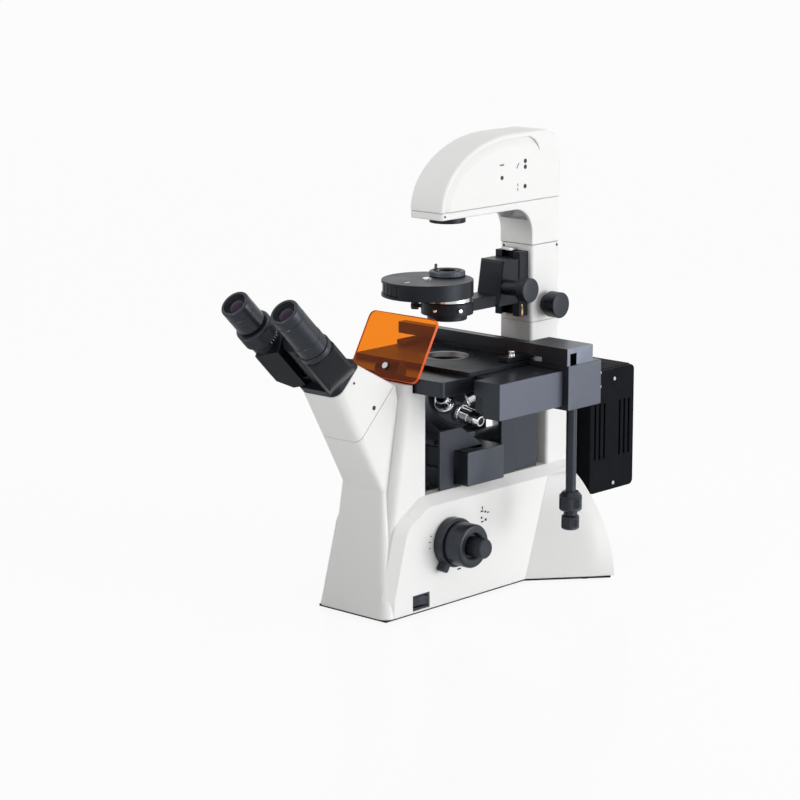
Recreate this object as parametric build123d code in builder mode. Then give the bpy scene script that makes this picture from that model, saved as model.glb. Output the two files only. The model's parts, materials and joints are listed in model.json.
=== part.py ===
from build123d import *
import os
from math import atan2, cos, degrees, pi, radians, sin, tan

os.makedirs("parts", exist_ok=True)

# Inverted fluorescence microscope, in millimetres.
# +X is the operator's right, +Y points away from the operator and +Z is up.
# The origin is on the bench under the middle of the instrument.
# Inside each piece, X and Y are counted from the optical axis.

# Whole instrument
axis_x = -11.5            # optical axis, to the left of the middle of the instrument
axis_y = 19.0             # and behind it
gap = 0.3                 # room between parts that move past one another
running = 0.05            # radial room of a shaft in its bore
seam = 0.4                # joint line between two castings

# Base casting
foot_height = 1.2
foot_radius = 9.0
base_plate_thickness = 2.6
base_plate_inset = 2.5
base_front = -148.5
base_rear = 148.5
base_half = 50.0          # half width over the cheeks
base_wall = 6.0
cheek_bevel = 10.0
cheek_shoulder_y = -124.0
cheek_shoulder_z = 100.0
cheek_top_y = -86.0
shoulder_rounding = 30.0
sill = 122.0              # floor of the window under the stage
wing_start = 72.0         # where the rear wings leave the cheeks
wing_half = 111.0
wing_top = 116.0
wing_crest = 110.0
wing_bend_x = 96.0
wing_bend_y = 128.0

# Pillars that carry the stage
pillar_half = 40.0
pillar_foot_y = -141.0
pillar_foot_z = 25.5
pillar_top_y = -103.5
pillar_lip = 241.0
pillar_lip_depth = 6.0
pillar_rounding = 8.0
window_front = -78.5
window_rear = 118.0

# Nose and tube axis: the light turns at the mirror and leaves along this axis
head_angle = 45.0
mirror_height = 81.5
joint_reach = 249.2       # from the mirror to the joint of the viewing head
nose_half = 28.0
nose_root_y = -129.6
nose_root_z = 131.6
nose_top_y = -109.0
nose_top_z = 241.0
joint_low = 25.6          # joint plane, below and above the tube axis
joint_high = 17.1
cover_clear = 2.3         # from the top of the nose to the joint line of its cover
nose_rounding = 9.0
joint_rounding = 12.0
cover_rounding = 4.0
beam_radius = 17.0

# Stage
stage_top = 253.0
plate_thickness = 5.0
plate_half = 80.0
plate_front = -55.8
plate_rear = 62.0
frame_thickness = 16.0
frame_half = 78.0
frame_front = -95.0
frame_rear = 128.0
frame_opening = 54.0      # radius of the hole that the objectives turn in
insert_radius = 30.0
insert_ledge = 3.0
insert_thickness = 2.0
insert_hole = 23.0
insert_hub = 4.0
dish_hole = insert_radius - insert_ledge

# Mechanical stage on the right
guide_inner = frame_half
guide_outer = 126.0
guide_front = -62.0
guide_rear = 39.0
guide_low = 210.0
notch_width = 26.0
notch_ledge = 14.0
notch_drop = 16.0
notch_length = 20.0
rail_rear = 100.0
rail_step = 10.0
carriage_wall = 8.0
carriage_front = 37.5
carriage_rear = 91.5
carriage_floor = 3.5
bar_front = 35.5
bar_depth = 11.5
bar_lift = 6.0            # room for the specimen holder under the bar
bar_high = 271.5
bar_left = -101.0
bar_wall = 4.5
block_left = 75.0         # drive block on the right end of the bar
block_foot = 100.0
block_rear = 77.0
slot_width = 11.0
slot_high = 265.8
holder_inner = 64.0       # half of the room between the jaws, for a culture plate
jaw_width = 14.0
jaw_front = 8.0
jaw_height = 5.0
shaft_inset = 10.0
shaft_y = 56.0
sleeve_radius = 5.5
sleeve_bottom = 117.0
upper_knob_radius = 12.0
upper_knob_height = 21.0
lower_knob_radius = 9.5
lower_knob_height = 20.0
inner_shaft_radius = 2.5
neck_radius = 4.0

# Orange shield
shield_width = 94.0
shield_height = 70.0
shield_thickness = 3.0
shield_lean = 30.0
shield_corner = 7.0

# Nosepiece
cone_angle = 50.0         # between the turret axis and each objective
apex_z = 197.0
seat_reach = 20.0
turret_radius = 27.0
turret_rim = 4.0
turret_bore = 15.0
objective_flange = 10.4
objective_lengths = {
    "objective_10x": 27.0,
    "objective_4x": 22.0,
    "objective_20x": 28.5,
    "objective_40x": 29.0,
}
objective_radius = 9.0
objective_tip = 6.0
carrier_plate_low = 166.0
carrier_plate = 5.0

# Focus drive
focus_y = -51.0
focus_z = 70.0
pinion_radius = 6.0       # pitch radius
pinion_teeth = 12
rack_teeth = 10
backlash = 0.5
coarse_shaft_radius = 4.5
fine_shaft_radius = 2.5
tension_radius = 26.0
tension_face = 62.0
coarse_radius = 23.0
coarse_face = 84.0
fine_radius = 10.5
fine_face = 100.0
focus_slide_x = -20.0     # sliding face between guide and carriage
focus_guide_x = -27.5
focus_carriage_x = -13.0
focus_carriage_rear = -35.0
focus_carriage_low = 52.0
focus_guide_high = 118.0
focus_guide_heel = 8.0

# Filter drawer and epi illumination
epi_z = 143.0
drawer_half = 29.0
drawer_low = 124.5
drawer_high = 161.0
drawer_right = 55.0
drawer_pitch = 36.0
epi_tube_radius = 21.0
epi_tube_wall = 3.0
lamp_front = 174.0
lamp_rear = 250.0
lamp_half = 52.0
lamp_low = 79.0
lamp_high = 215.0
lamp_wall = 3.0
lamp_cover = 3.0

# Side panels in the window
panel_outer = 39.5
panel_thickness = 2.5
panel_front = -55.0
panel_split = 43.0
panel_rear = 104.0
panel_high = 185.0
panel_slope_start = -22.0
panel_slope_end = 30.0
panel_slope_low = 150.0

# Lamp pillar and arm
column_half = 22.5
column_front = 111.0
column_rear = 157.0
column_foot = 275.5
column_height = 83.5
arm_half = 22.5
arm_groove = 3.5
arm_groove_inset = 5.0
arm_bevel = 9.0
arm_panel_rear = 122.0
arm_panel_corner = 25.0
arm_front = -34.0
arm_rear = 157.5
neck_rise = 41.4
arm_band = 7.6            # height of the lower half at the front of the arm
arm_rise = 73.6
arm_crown_y = 80.0
arm_wall = 3.0
arm_rear_rounding = 27.0
arm_rim = 4.0
soffit_radius = 28.0
soffit_wall = 4.0
soffit_depth = 14.0
hinge_radius = 5.0
hinge_pin_radius = 2.5
knuckle_inner = 7.5
knuckle_outer = 20.0
column_corner = 4.0
lens_ring_radius = 19.0
lens_ring_height = 6.0
field_lens_radius = 15.0

# Condenser and its carrier
rail_half = 17.0
rail_depth = 14.0
rail_start = 7.5          # from the foot and the top of the column
rail_end = 6.0
slot_half = 8.0
carrier_start = 15.0
carrier_height = 48.0
carrier_front = 62.0
carrier_front_top = 70.0
bracket_half = 13.0
bracket_height = 13.0
holder_radius = 27.5
holder_bore = 21.0
condenser_drop = 6.0
condenser_flange = 25.0
beam_bore = 9.0
phase_disc_radius = 48.0
disc_wall = 1.0
disc_floor = 3.0
phase_disc_y = -31.0
disc_lift = 23.0
phase_disc_thickness = 17.0
top_ring_radius = 19.0
top_ring_height = 5.5
knob_radius = 14.0
knob_height = 15.0
focus_grip_radius = 13.2
focus_grip_height = 11.0
focus_neck = 21.5
knob_shaft_radius = 4.0
condenser_knob_y = 76.0
knob_lift = 20.0
clamp_lift = 18.5
clamp_neck = 5.0

# Viewing head, along the tube axis from the joint
head_block = 9.6
arm_low_h = 10.0
arm_high_h = 66.0
arm_heel_h = 29.0         # where the sloping lower end meets the outer face
arm_disc = 4.0
hub_radius = 18.5
hub_pin_radius = 8.0
eye_x = 34.2
eye_drop = 13.0
arm_width = 17.0
arm_inner = 19.2
arm_toe = 34.0
arm_end = 50.0
arm_corner = 4.0
tube_radius = 16.0
eye_radius = 15.5
eye_top_h = 129.0
dioptre_radius = 19.0
dioptre_low_h = 77.0
dioptre_travel = 3.0

# Derived
base_bottom = foot_height + base_plate_thickness
plate_low = stage_top - plate_thickness
frame_low = plate_low - frame_thickness
guide_high = plate_low - gap
carriage_outer = guide_outer + carriage_wall
shaft_x = carriage_outer - shaft_inset
rear_pillar_back = column_rear
column_top = column_foot + column_height
arm_low = column_top + neck_rise
arm_seam = arm_low + arm_band
arm_high = arm_seam + arm_rise
rail_low = column_foot + rail_start
rail_high = column_top - rail_end
carrier_low = rail_low + carrier_start
carrier_high = carrier_low + carrier_height
condenser_low = carrier_low - condenser_drop
phase_disc_low = carrier_low + disc_lift
condenser_knob_z = carrier_low + knob_lift
clamp_knob_y = (column_front + column_rear) / 2
clamp_knob_z = column_foot + clamp_lift
head_cos = cos(radians(head_angle))
head_sin = sin(radians(head_angle))
cone_sin = sin(radians(cone_angle))
cone_cos = cos(radians(cone_angle))
drop = 2 * base_wall


def plan(z, x=0.0, y=0.0):
    """Level plane at height z, with its origin x, y from the optical axis."""
    return Plane(origin=(axis_x + x, axis_y + y, z), x_dir=(1, 0, 0), z_dir=(0, 0, 1))


def side(x, y=0.0, z=0.0):
    """Upright plane that faces right: sketch X is Y, sketch Y is Z."""
    return Plane(origin=(axis_x + x, axis_y + y, z), x_dir=(0, 1, 0), z_dir=(1, 0, 0))


def face(y, x=0.0, z=0.0):
    """Upright plane that faces the operator: sketch X is X, sketch Y is Z."""
    return Plane(origin=(axis_x + x, axis_y + y, z), x_dir=(1, 0, 0), z_dir=(0, -1, 0))


def tube_point(h, v):
    """Y and Z of a point h beyond the joint along the tube axis and v square above it."""
    reach = joint_reach + h
    return (-reach * head_cos + v * head_sin, mirror_height + reach * head_sin + v * head_cos)


def tube_plane(h, x=0.0, v=0.0):
    """Plane square to the tube axis, h beyond the joint."""
    y, z = tube_point(h, v)
    return Plane(origin=(axis_x + x, axis_y + y, z), x_dir=(1, 0, 0), z_dir=(0, -head_cos, head_sin))


def reach_of(point):
    """Distance of a side-view point along the tube axis."""
    return -point[0] * head_cos + point[1] * head_sin


def height_of(point):
    """Height of a side-view point square above the tube axis."""
    return point[0] * head_sin + (point[1] - mirror_height) * head_cos


def at_reach(start, end, reach):
    """Side-view point between start and end that lies at a distance along the tube axis."""
    share = (reach - reach_of(start)) / (reach_of(end) - reach_of(start))
    return (start[0] + share * (end[0] - start[0]), start[1] + share * (end[1] - start[1]))


def outline(*points):
    """Closed straight-sided face from its corners."""
    Polygon(*points, align=None)


def rounded_box(x0, x1, y0, y1, corner):
    """Rectangle between two corners, with all four corners rounded."""
    with Locations(((x0 + x1) / 2, (y0 + y1) / 2)):
        RectangleRounded(x1 - x0, y1 - y0, corner)


def box_between(x0, x1, y0, y1):
    """Plain rectangle between two corners."""
    with Locations(((x0 + x1) / 2, (y0 + y1) / 2)):
        Rectangle(x1 - x0, y1 - y0)


def front_rounded(half, front, back, front_corner, back_corner):
    """Rectangle about X = 0 whose front corners, and back corners if wanted, are rounded."""
    box_between(-half, half, front, back)
    fillet(vertices().group_by(Axis.Y)[0], radius=front_corner)
    if back_corner:
        fillet(vertices().group_by(Axis.Y)[-1], radius=back_corner)


def scalloped(radius, count, depth):
    """Disc with finger scallops round its rim."""
    Circle(radius)
    with PolarLocations(radius + depth, count):
        Circle(2 * depth, mode=Mode.SUBTRACT)


def disc(plane, radius, height, mode=Mode.ADD):
    """Round disc that stands on a plane."""
    with Locations(plane):
        Cylinder(radius, height, align=(Align.CENTER, Align.CENTER, Align.MIN), mode=mode)


def taper(plane, low_radius, high_radius, height, mode=Mode.ADD):
    """Round taper that stands on a plane."""
    with Locations(plane):
        Cone(low_radius, high_radius, height, align=(Align.CENTER, Align.CENTER, Align.MIN), mode=mode)


def finish(builder, name):
    """Labels a finished piece and writes it under its own name."""
    builder.part.label = name
    export_step(builder.part, f"parts/{name}.step")


# Base: plate, feet, casting and nose cover

nose_root = (nose_root_y, nose_root_z)
nose_tip = tube_point(0, -joint_low)
nose_crown = tube_point(0, joint_high)
nose_top = (nose_top_y, nose_top_z)
cover_reach = reach_of(nose_top) + cover_clear
cover_length = reach_of(nose_tip) - cover_reach
seam_front = at_reach(nose_root, nose_tip, cover_reach)
seam_top = at_reach(nose_top, nose_crown, cover_reach)
cover_front = at_reach(nose_root, nose_tip, cover_reach + seam)
cover_top = at_reach(nose_top, nose_crown, cover_reach + seam)


def footprint(inset):
    """Foot of the instrument: straight at the front, flaring into two rear wings."""
    right = [(base_half - inset, base_front + inset), (base_half - inset, wing_start)]
    right += [(wing_bend_x - inset, wing_bend_y), (wing_half - inset, base_rear - inset)]
    left = [(-x, y) for x, y in reversed(right)]
    outline(*right, *left)


mirror_tilt = radians((90 - head_angle) / 2)
mirror_half = 22.0
mirror_length = 56.0
mirror_thickness = 5.0
mirror_plane = Plane(
    origin=(axis_x, axis_y, mirror_height), x_dir=(1, 0, 0), z_dir=(0, -sin(mirror_tilt), cos(mirror_tilt))
)


def mirror_back(v):
    """Side-view point on the back of the mirror, v along its slope."""
    y = v * cos(mirror_tilt) + mirror_thickness * sin(mirror_tilt)
    z = mirror_height + v * sin(mirror_tilt) - mirror_thickness * cos(mirror_tilt)
    return (y, z)


with BuildPart() as base_plate:
    with BuildSketch(plan(foot_height)):
        footprint(base_plate_inset)
    extrude(amount=base_plate_thickness)
    # sloping seat for the main mirror
    low_end = mirror_back(-mirror_length / 2)
    high_end = mirror_back(mirror_length / 2)
    with BuildSketch(side(-mirror_half)):
        outline(low_end, high_end, (high_end[0], foot_height + 1), (low_end[0], foot_height + 1))
    extrude(amount=2 * mirror_half)
finish(base_plate, "base_plate")

foot_places = [(sx * (base_half - 2 * foot_radius), base_front + 2.2 * foot_radius) for sx in (-1, 1)]
foot_places += [(sx * (wing_half - 3.3 * foot_radius), base_rear - 1.8 * foot_radius) for sx in (-1, 1)]

with BuildPart() as rubber_feet:
    with BuildSketch(plan(0)):
        with Locations(*foot_places):
            Circle(foot_radius)
    extrude(amount=foot_height)
finish(rubber_feet, "rubber_feet")

switch_y = -95.0
switch_half = 13.0
switch_low = 5.5
switch_high = 22.0
shaft_bush = coarse_shaft_radius + running
inlet_z = 40.0
inlet_half = 14.0
inlet_height = 20.0
inlet_depth = rear_pillar_back - base_rear + drop
inlet_recess = 4.0

with BuildPart() as base_housing:
    # cheeks with a broad bevel along the front and the sill
    with BuildSketch(side(-base_half)):
        outline(
            (base_front + 2, base_bottom),
            (pillar_foot_y - 4, pillar_foot_z),
            (cheek_shoulder_y, cheek_shoulder_z),
            (cheek_top_y, sill),
            (base_rear, sill),
            (base_rear, base_bottom),
        )
    extrude(amount=2 * base_half)
    shoulder = base_housing.edges().filter_by(Axis.X).filter_by(lambda e: e.center().Z > cheek_shoulder_z - 1)
    fillet(shoulder.sort_by(Axis.Y)[:2], radius=shoulder_rounding)
    rims = base_housing.edges().filter_by(lambda e: abs(abs(e.center().X - axis_x) - base_half) < 0.01)
    rims = rims.filter_by(lambda e: e.center().Z > base_bottom + 1 and e.center().Y < axis_y + base_rear - 1)
    chamfer(rims, length=cheek_bevel)
    # tapered front that narrows up to the nose
    with BuildSketch(plan(base_bottom)):
        box_between(-base_half, base_half, base_front, window_front)
        fillet(vertices().group_by(Axis.Y)[0], radius=12)
    with BuildSketch(plan(nose_root_z)):
        box_between(-nose_half, nose_half, nose_root_y, window_front)
        fillet(vertices().group_by(Axis.Y)[0], radius=4)
    loft()
    # front pillar, leaning back, with a lip in front of the stage
    with BuildSketch(plan(pillar_foot_z)):
        front_rounded(pillar_half, pillar_foot_y, window_front, pillar_rounding, 0)
    with BuildSketch(plan(pillar_lip)):
        front_rounded(pillar_half, pillar_top_y, window_front, pillar_rounding, 0)
    loft()
    with BuildSketch(plan(frame_low)):
        box_between(-base_half, base_half, pillar_top_y + pillar_lip_depth, window_front + 1)
    extrude(amount=frame_thickness, mode=Mode.SUBTRACT)
    # lower half of the nose
    with BuildSketch(plan(nose_root_z)):
        front_rounded(nose_half, nose_root_y, window_front - base_wall, nose_rounding / 2, 0)
    with BuildSketch(tube_plane(cover_reach - joint_reach - mirror_height * head_sin)):
        front_rounded(nose_half, height_of(seam_front), height_of(seam_top), nose_rounding, 0)
    loft()
    # rear pillar and the foot of the lamp column
    with BuildSketch(plan(base_bottom)):
        rounded_box(-pillar_half, pillar_half, window_rear, rear_pillar_back, column_corner)
    extrude(amount=frame_low - base_bottom)
    with BuildSketch(plan(frame_low - drop)):
        rounded_box(-column_half, column_half, column_front, column_rear, column_corner)
    extrude(amount=column_foot - frame_low + drop)
    # hinge ears for the lamp column, with room for its middle knuckle
    for x in (-knuckle_outer, knuckle_inner + gap):
        disc(side(x, column_rear, column_foot), hinge_radius, knuckle_outer - knuckle_inner - gap)
    knuckle_room = side(-knuckle_inner - gap, column_rear, column_foot)
    disc(knuckle_room, hinge_radius + gap, 2 * (knuckle_inner + gap), Mode.SUBTRACT)
    pin_start = side(-knuckle_outer - 1, column_rear, column_foot)
    disc(pin_start, hinge_pin_radius + running, 2 * knuckle_outer + 2, Mode.SUBTRACT)
    # rear wings
    for hand in (-1, 1):
        root = hand * (base_half - base_wall)
        with BuildSketch(plan(base_bottom)):
            outline(
                (root, wing_start),
                (hand * base_half, wing_start),
                (hand * wing_bend_x, wing_bend_y),
                (hand * wing_half, base_rear),
                (root, base_rear),
            )
        with BuildSketch(plan(wing_top)):
            outline(
                (root, wing_crest),
                (root + hand * 1.0, wing_crest),
                (root + hand * 2.0, wing_crest + 5),
                (root + hand * 3.0, base_rear),
                (root, base_rear),
            )
        loft(ruled=True)
    # hollow of the base and its way up through the sill
    with BuildSketch(plan(base_bottom)):
        inside = base_half - base_wall
        box_between(-inside, inside, window_front - 4 * base_wall, base_rear - drop)
    extrude(amount=sill - drop - base_bottom, mode=Mode.SUBTRACT)
    with BuildSketch(plan(sill - drop - 1)):
        inside = pillar_half - drop
        box_between(-inside, inside, window_front + base_wall, window_rear - base_wall)
    extrude(amount=drop + 2, mode=Mode.SUBTRACT)
    # light way up the nose
    with BuildSketch(tube_plane(-joint_reach + mirror_height)):
        Circle(beam_radius)
    extrude(amount=joint_reach, mode=Mode.SUBTRACT)
    # epi tube through the rear pillar
    with BuildSketch(face(rear_pillar_back + 1, 0, epi_z)):
        Circle(epi_tube_radius)
    extrude(amount=rear_pillar_back - window_rear + 4, mode=Mode.SUBTRACT)
    # collar on the left and bore for the focus shaft, openings for the switch and the power inlet
    disc(side(-tension_face, focus_y, focus_z), tension_radius, tension_face - base_half + 1)
    disc(side(-tension_face - 1, focus_y, focus_z), shaft_bush, 2 * tension_face, Mode.SUBTRACT)
    with BuildSketch(side(base_half - base_wall - 1)):
        box_between(switch_y - switch_half, switch_y + switch_half, switch_low, switch_high)
    extrude(amount=base_wall + 2, mode=Mode.SUBTRACT)
    with BuildSketch(face(rear_pillar_back + 1, 0, inlet_z)):
        Rectangle(2 * inlet_half, inlet_height)
    extrude(amount=inlet_depth + 2, mode=Mode.SUBTRACT)
finish(base_housing, "base_housing")

with BuildPart() as nose_cover:
    with BuildSketch(tube_plane(seam - cover_length)):
        front_rounded(nose_half, height_of(cover_front), height_of(cover_top), nose_rounding, cover_rounding)
    with BuildSketch(tube_plane(0)):
        front_rounded(nose_half, -joint_low, joint_high, joint_rounding, cover_rounding)
    loft()
    with BuildSketch(tube_plane(-cover_length - drop)):
        Circle(beam_radius)
    extrude(amount=cover_length + 2 * drop, mode=Mode.SUBTRACT)
finish(nose_cover, "nose_cover")

# Light path inside the base

with BuildPart() as main_mirror:
    with BuildSketch(mirror_plane):
        Rectangle(2 * mirror_half, mirror_length)
    extrude(amount=-mirror_thickness)
finish(main_mirror, "main_mirror")

tube_lens_reach = 140.0
lens_thickness = 7.0

with BuildPart() as tube_lens:
    disc(tube_plane(tube_lens_reach - joint_reach), beam_radius - running, lens_thickness)
finish(tube_lens, "tube_lens")

rear_panel_step = 22.0

# Side panels in the window: the front pair dips in a V where the objectives swing out

with BuildPart() as window_panels:
    for inner in (-panel_outer, panel_outer - panel_thickness):
        with BuildSketch(side(inner)):
            outline(
                (panel_front, sill),
                (panel_front, panel_high),
                (panel_slope_start, panel_high),
                (panel_slope_end, panel_slope_low),
                (panel_slope_end, sill),
            )
            box_less = drawer_half + 4 + gap
            with Locations((0, drawer_low)):
                Rectangle(2 * box_less, 2 * (drawer_high - drawer_low + gap), mode=Mode.SUBTRACT)
        extrude(amount=panel_thickness)
    for hand in (-1, 1):
        with BuildSketch(plan(sill)):
            outline(
                (hand * panel_outer, panel_split),
                (hand * panel_outer, panel_split + rear_panel_step),
                (hand * (panel_outer - panel_thickness), panel_split + rear_panel_step + panel_thickness),
                (hand * (panel_outer - panel_thickness), panel_rear),
                (hand * (panel_outer - 2 * panel_thickness), panel_rear),
                (hand * (panel_outer - 2 * panel_thickness), panel_split),
            )
        extrude(amount=frame_low - sill - 1)
finish(window_panels, "window_panels")

# Filter drawer on its guide, epi tube and lamp house

guide_wall = 3.5
guide_floor = drawer_low - gap - sill

with BuildPart() as filter_guide:
    with BuildSketch(side(-pillar_half + 4)):
        box_between(-drawer_half - gap - guide_wall, drawer_half + gap + guide_wall, sill, epi_z - 4)
        with Locations((0, sill + guide_floor + drawer_high / 2)):
            Rectangle(2 * (drawer_half + gap), drawer_high, mode=Mode.SUBTRACT)
    extrude(amount=2 * (pillar_half - 4))
    disc(plan(sill - 1), objective_flange, drop, Mode.SUBTRACT)
finish(filter_guide, "filter_guide")

filter_bore = 11.0

with BuildPart() as filter_drawer:
    with BuildSketch(side(drawer_right - 2 * drawer_pitch - 20)):
        rounded_box(-drawer_half, drawer_half, drawer_low, drawer_high, 1.5)
    extrude(amount=2 * drawer_pitch + 20)
    for x in (0, drawer_pitch - 1):
        disc(plan(drawer_low - 1, x), filter_bore, drawer_high, Mode.SUBTRACT)
    with BuildSketch(face(drawer_half + 1, 0, epi_z)):
        Circle(filter_bore)
    extrude(amount=drawer_half, mode=Mode.SUBTRACT)
finish(filter_drawer, "filter_drawer")

with BuildPart() as epi_tube:
    with BuildSketch(face(lamp_front, 0, epi_z)):
        Circle(epi_tube_radius - running)
        Circle(epi_tube_radius - epi_tube_wall, mode=Mode.SUBTRACT)
    extrude(amount=lamp_front - drawer_half - guide_wall - 2 * gap)
finish(epi_tube, "epi_tube")

lamp_corner = 6.0
vent_count = 5
vent_width = 3.0
vent_length = 62.0
vent_pitch = 8.0
vent_spacing = 43.0       # between the two groups of slots in each side

with BuildPart() as lamp_house:
    with BuildSketch(face(lamp_rear)):
        with Locations((0, (lamp_low + lamp_high) / 2)):
            RectangleRounded(2 * lamp_half, lamp_high - lamp_low, lamp_corner)
    extrude(amount=lamp_rear - lamp_front)
    with BuildSketch(side(-lamp_half - 1)):
        box_between(
            lamp_front + 4 * lamp_wall, lamp_rear - lamp_wall, lamp_low + lamp_wall, lamp_high - lamp_wall
        )
    extrude(amount=2 * lamp_half + 2, mode=Mode.SUBTRACT)
    with BuildSketch(face(lamp_front + 5 * lamp_wall, 0, epi_z)):
        Circle(epi_tube_radius - epi_tube_wall)
    extrude(amount=6 * lamp_wall, mode=Mode.SUBTRACT)
    with BuildSketch(plan(lamp_high - 2 * lamp_wall, 0, (lamp_front + lamp_rear) / 2)):
        with GridLocations(0, vent_pitch, 1, vent_count):
            SlotOverall(vent_length, vent_width)
    extrude(amount=3 * lamp_wall, mode=Mode.SUBTRACT)
finish(lamp_house, "lamp_house")

with BuildPart() as lamp_house_covers:
    for inner in (-lamp_half - lamp_cover, lamp_half):
        with BuildSketch(side(inner)):
            rounded_box(lamp_front, lamp_rear, lamp_low, lamp_high, lamp_corner)
            with Locations(((lamp_front + lamp_rear) / 2, (lamp_low + lamp_high) / 2)):
                with GridLocations(vent_spacing, 0, 2, 1):
                    with GridLocations(vent_pitch, 0, 3, 1):
                        Rectangle(vent_width, vent_length, mode=Mode.SUBTRACT)
        extrude(amount=lamp_cover)
finish(lamp_house_covers, "lamp_house_covers")

bulb_y = (lamp_front + lamp_rear) / 2 + 4
bulb_radius = 8.0
bulb_stem = 3.5
socket_radius = 12.0
socket_height = 28.0

with BuildPart() as arc_lamp:
    disc(plan(lamp_low + lamp_wall, 0, bulb_y), socket_radius, socket_height)
    disc(plan(lamp_low + lamp_wall, 0, bulb_y), bulb_stem, lamp_high - lamp_low - 5 * lamp_wall)
    with Locations((axis_x, axis_y + bulb_y, epi_z)):
        Sphere(bulb_radius)
finish(arc_lamp, "arc_lamp")

# Focus drive: rack and pinion between the cheeks, coaxial knobs on both sides

module = 2 * pinion_radius / pinion_teeth
pitch = pi * module
rack_y = focus_y + pinion_radius
slope = tan(radians(20))


def tooth(tip, root, centre=0.0):
    """Tooth flanks along sketch Y at a centre: tip and root are heights from the pitch line."""
    half = (pitch / 2 - backlash) / 2
    tip_half = half - abs(tip) * slope
    root_half = half + abs(root) * slope
    flank = [(root, root_half), (tip, tip_half)]
    return [(h, centre - w) for h, w in flank] + [(h, centre + w) for h, w in reversed(flank)]


with BuildPart() as focus_guide:
    with BuildSketch(plan(base_bottom)):
        box_between(focus_guide_x, focus_slide_x - gap, rack_y + 2 * module, focus_carriage_rear)
        heel_x = (focus_guide_x + focus_slide_x) / 2
        box_between(focus_guide_x, heel_x, focus_carriage_rear - 1, focus_carriage_rear + focus_guide_heel)
    extrude(amount=focus_guide_high - base_bottom)
finish(focus_guide, "focus_guide")

with BuildPart() as focus_carriage:
    rack_face = rack_y + 1.25 * module
    with BuildSketch(plan(focus_carriage_low)):
        box_between(focus_slide_x, focus_carriage_x, rack_face, focus_carriage_rear)
    extrude(amount=carrier_plate_low - focus_carriage_low)
    for i in range(rack_teeth):
        middle = focus_z + (i - (rack_teeth - 1) / 2) * pitch
        with BuildSketch(side(focus_slide_x)):
            flank = tooth(-module, 1.25 * module + 0.2, middle)
            outline(*[(rack_y + d, z) for d, z in flank])
        extrude(amount=focus_carriage_x - focus_slide_x)
finish(focus_carriage, "focus_carriage")

# Nosepiece: the turret leans to the right, so that one objective stands upright under the specimen

apex = Vector(axis_x, axis_y, apex_z)
turret_axis = Vector(cone_sin, 0, cone_cos)
turret_down = Vector(cone_cos, 0, -cone_sin)
turret_base = 6.0
turret_base_radius = 24.0


def turret_plane(h):
    """Plane square to the turret axis, h above the point where all objective axes meet."""
    return Plane(origin=apex + turret_axis * h, x_dir=turret_down, z_dir=turret_axis)


def objective_plane(turn, reach):
    """Plane square to an objective's axis, reach away from the meeting point."""
    across = turret_down * cos(radians(turn)) + Vector(0, 1, 0) * sin(radians(turn))
    direction = across * cone_sin + turret_axis * cone_cos
    return Plane(origin=apex + direction * reach, z_dir=direction)


with BuildPart() as nosepiece_carrier:
    with BuildSketch(plan(carrier_plate_low)):
        box_between(focus_guide_x, 2 * objective_flange, rack_y + module, turret_base_radius - 2)
    extrude(amount=carrier_plate)
    foot_low = turret_plane(-turret_rim - gap - turret_base)
    wedge_far = foot_low.origin - turret_down * turret_base_radius
    wedge_near = foot_low.origin + turret_down * turret_base_radius
    with BuildSketch(face(turret_base_radius - 6)):
        outline(
            (wedge_near.X - axis_x, wedge_near.Z + 1),
            (wedge_far.X - axis_x, wedge_far.Z),
            (focus_guide_x, wedge_far.Z),
            (focus_guide_x, carrier_plate_low + 1),
            (wedge_near.X - axis_x, carrier_plate_low + 1),
        )
    extrude(amount=2 * (turret_base_radius - 6))
    disc(foot_low, turret_base_radius, turret_base)
    disc(turret_plane(-turret_rim - gap), turret_bore - running, turret_rim)
    disc(turret_plane(-turret_rim - gap - turret_base), turret_bore - 3, 3 * turret_base, Mode.SUBTRACT)
    disc(plan(carrier_plate_low - 1), objective_tip + 3, 2 * seat_reach, Mode.SUBTRACT)
finish(nosepiece_carrier, "nosepiece_carrier")

seat_r = seat_reach * cone_sin
seat_h = seat_reach * cone_cos
seat_flat = objective_flange + 1.2

with BuildPart() as nosepiece:
    crown = (seat_r - seat_flat * cone_cos, seat_h + seat_flat * cone_sin)
    skirt = seat_r + (seat_h - turret_rim) / cone_sin * cone_cos
    with BuildSketch(Plane(origin=apex, x_dir=(0, 1, 0), z_dir=turret_down)):
        outline(
            (0, -turret_rim),
            (turret_radius, -turret_rim),
            (turret_radius, turret_rim),
            (skirt, turret_rim),
            crown,
            (0, crown[1]),
        )
    revolve(axis=Axis(apex, turret_axis))
    for turn in range(0, 360, 90):
        disc(objective_plane(turn, seat_reach - 6), seat_flat, 6)
    disc(turret_plane(-turret_rim - 1), turret_bore, turret_rim + 2, Mode.SUBTRACT)
    for turn in range(0, 360, 90):
        disc(objective_plane(turn, 0), objective_tip + 2, 2 * seat_reach, Mode.SUBTRACT)
finish(nosepiece, "nosepiece")

for turn, (name, length) in zip((180, 270, 0, 90), objective_lengths.items()):
    with BuildPart() as objective:
        disc(objective_plane(turn, seat_reach), objective_flange, 3)
        disc(objective_plane(turn, seat_reach + 3), objective_radius, length - 12)
        taper(objective_plane(turn, seat_reach + length - 9), objective_radius, objective_tip, 9)
        disc(objective_plane(turn, seat_reach - 1), objective_tip - 2, length, Mode.SUBTRACT)
    finish(objective, name)

with BuildPart() as objective_lenses:
    for turn, length in zip((180, 270, 0, 90), objective_lengths.values()):
        disc(objective_plane(turn, seat_reach + length - 4), objective_tip - 2 - running, 2.8)
finish(objective_lenses, "objective_lenses")

# Focus shafts and knobs

knob_wall = 3.0

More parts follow.
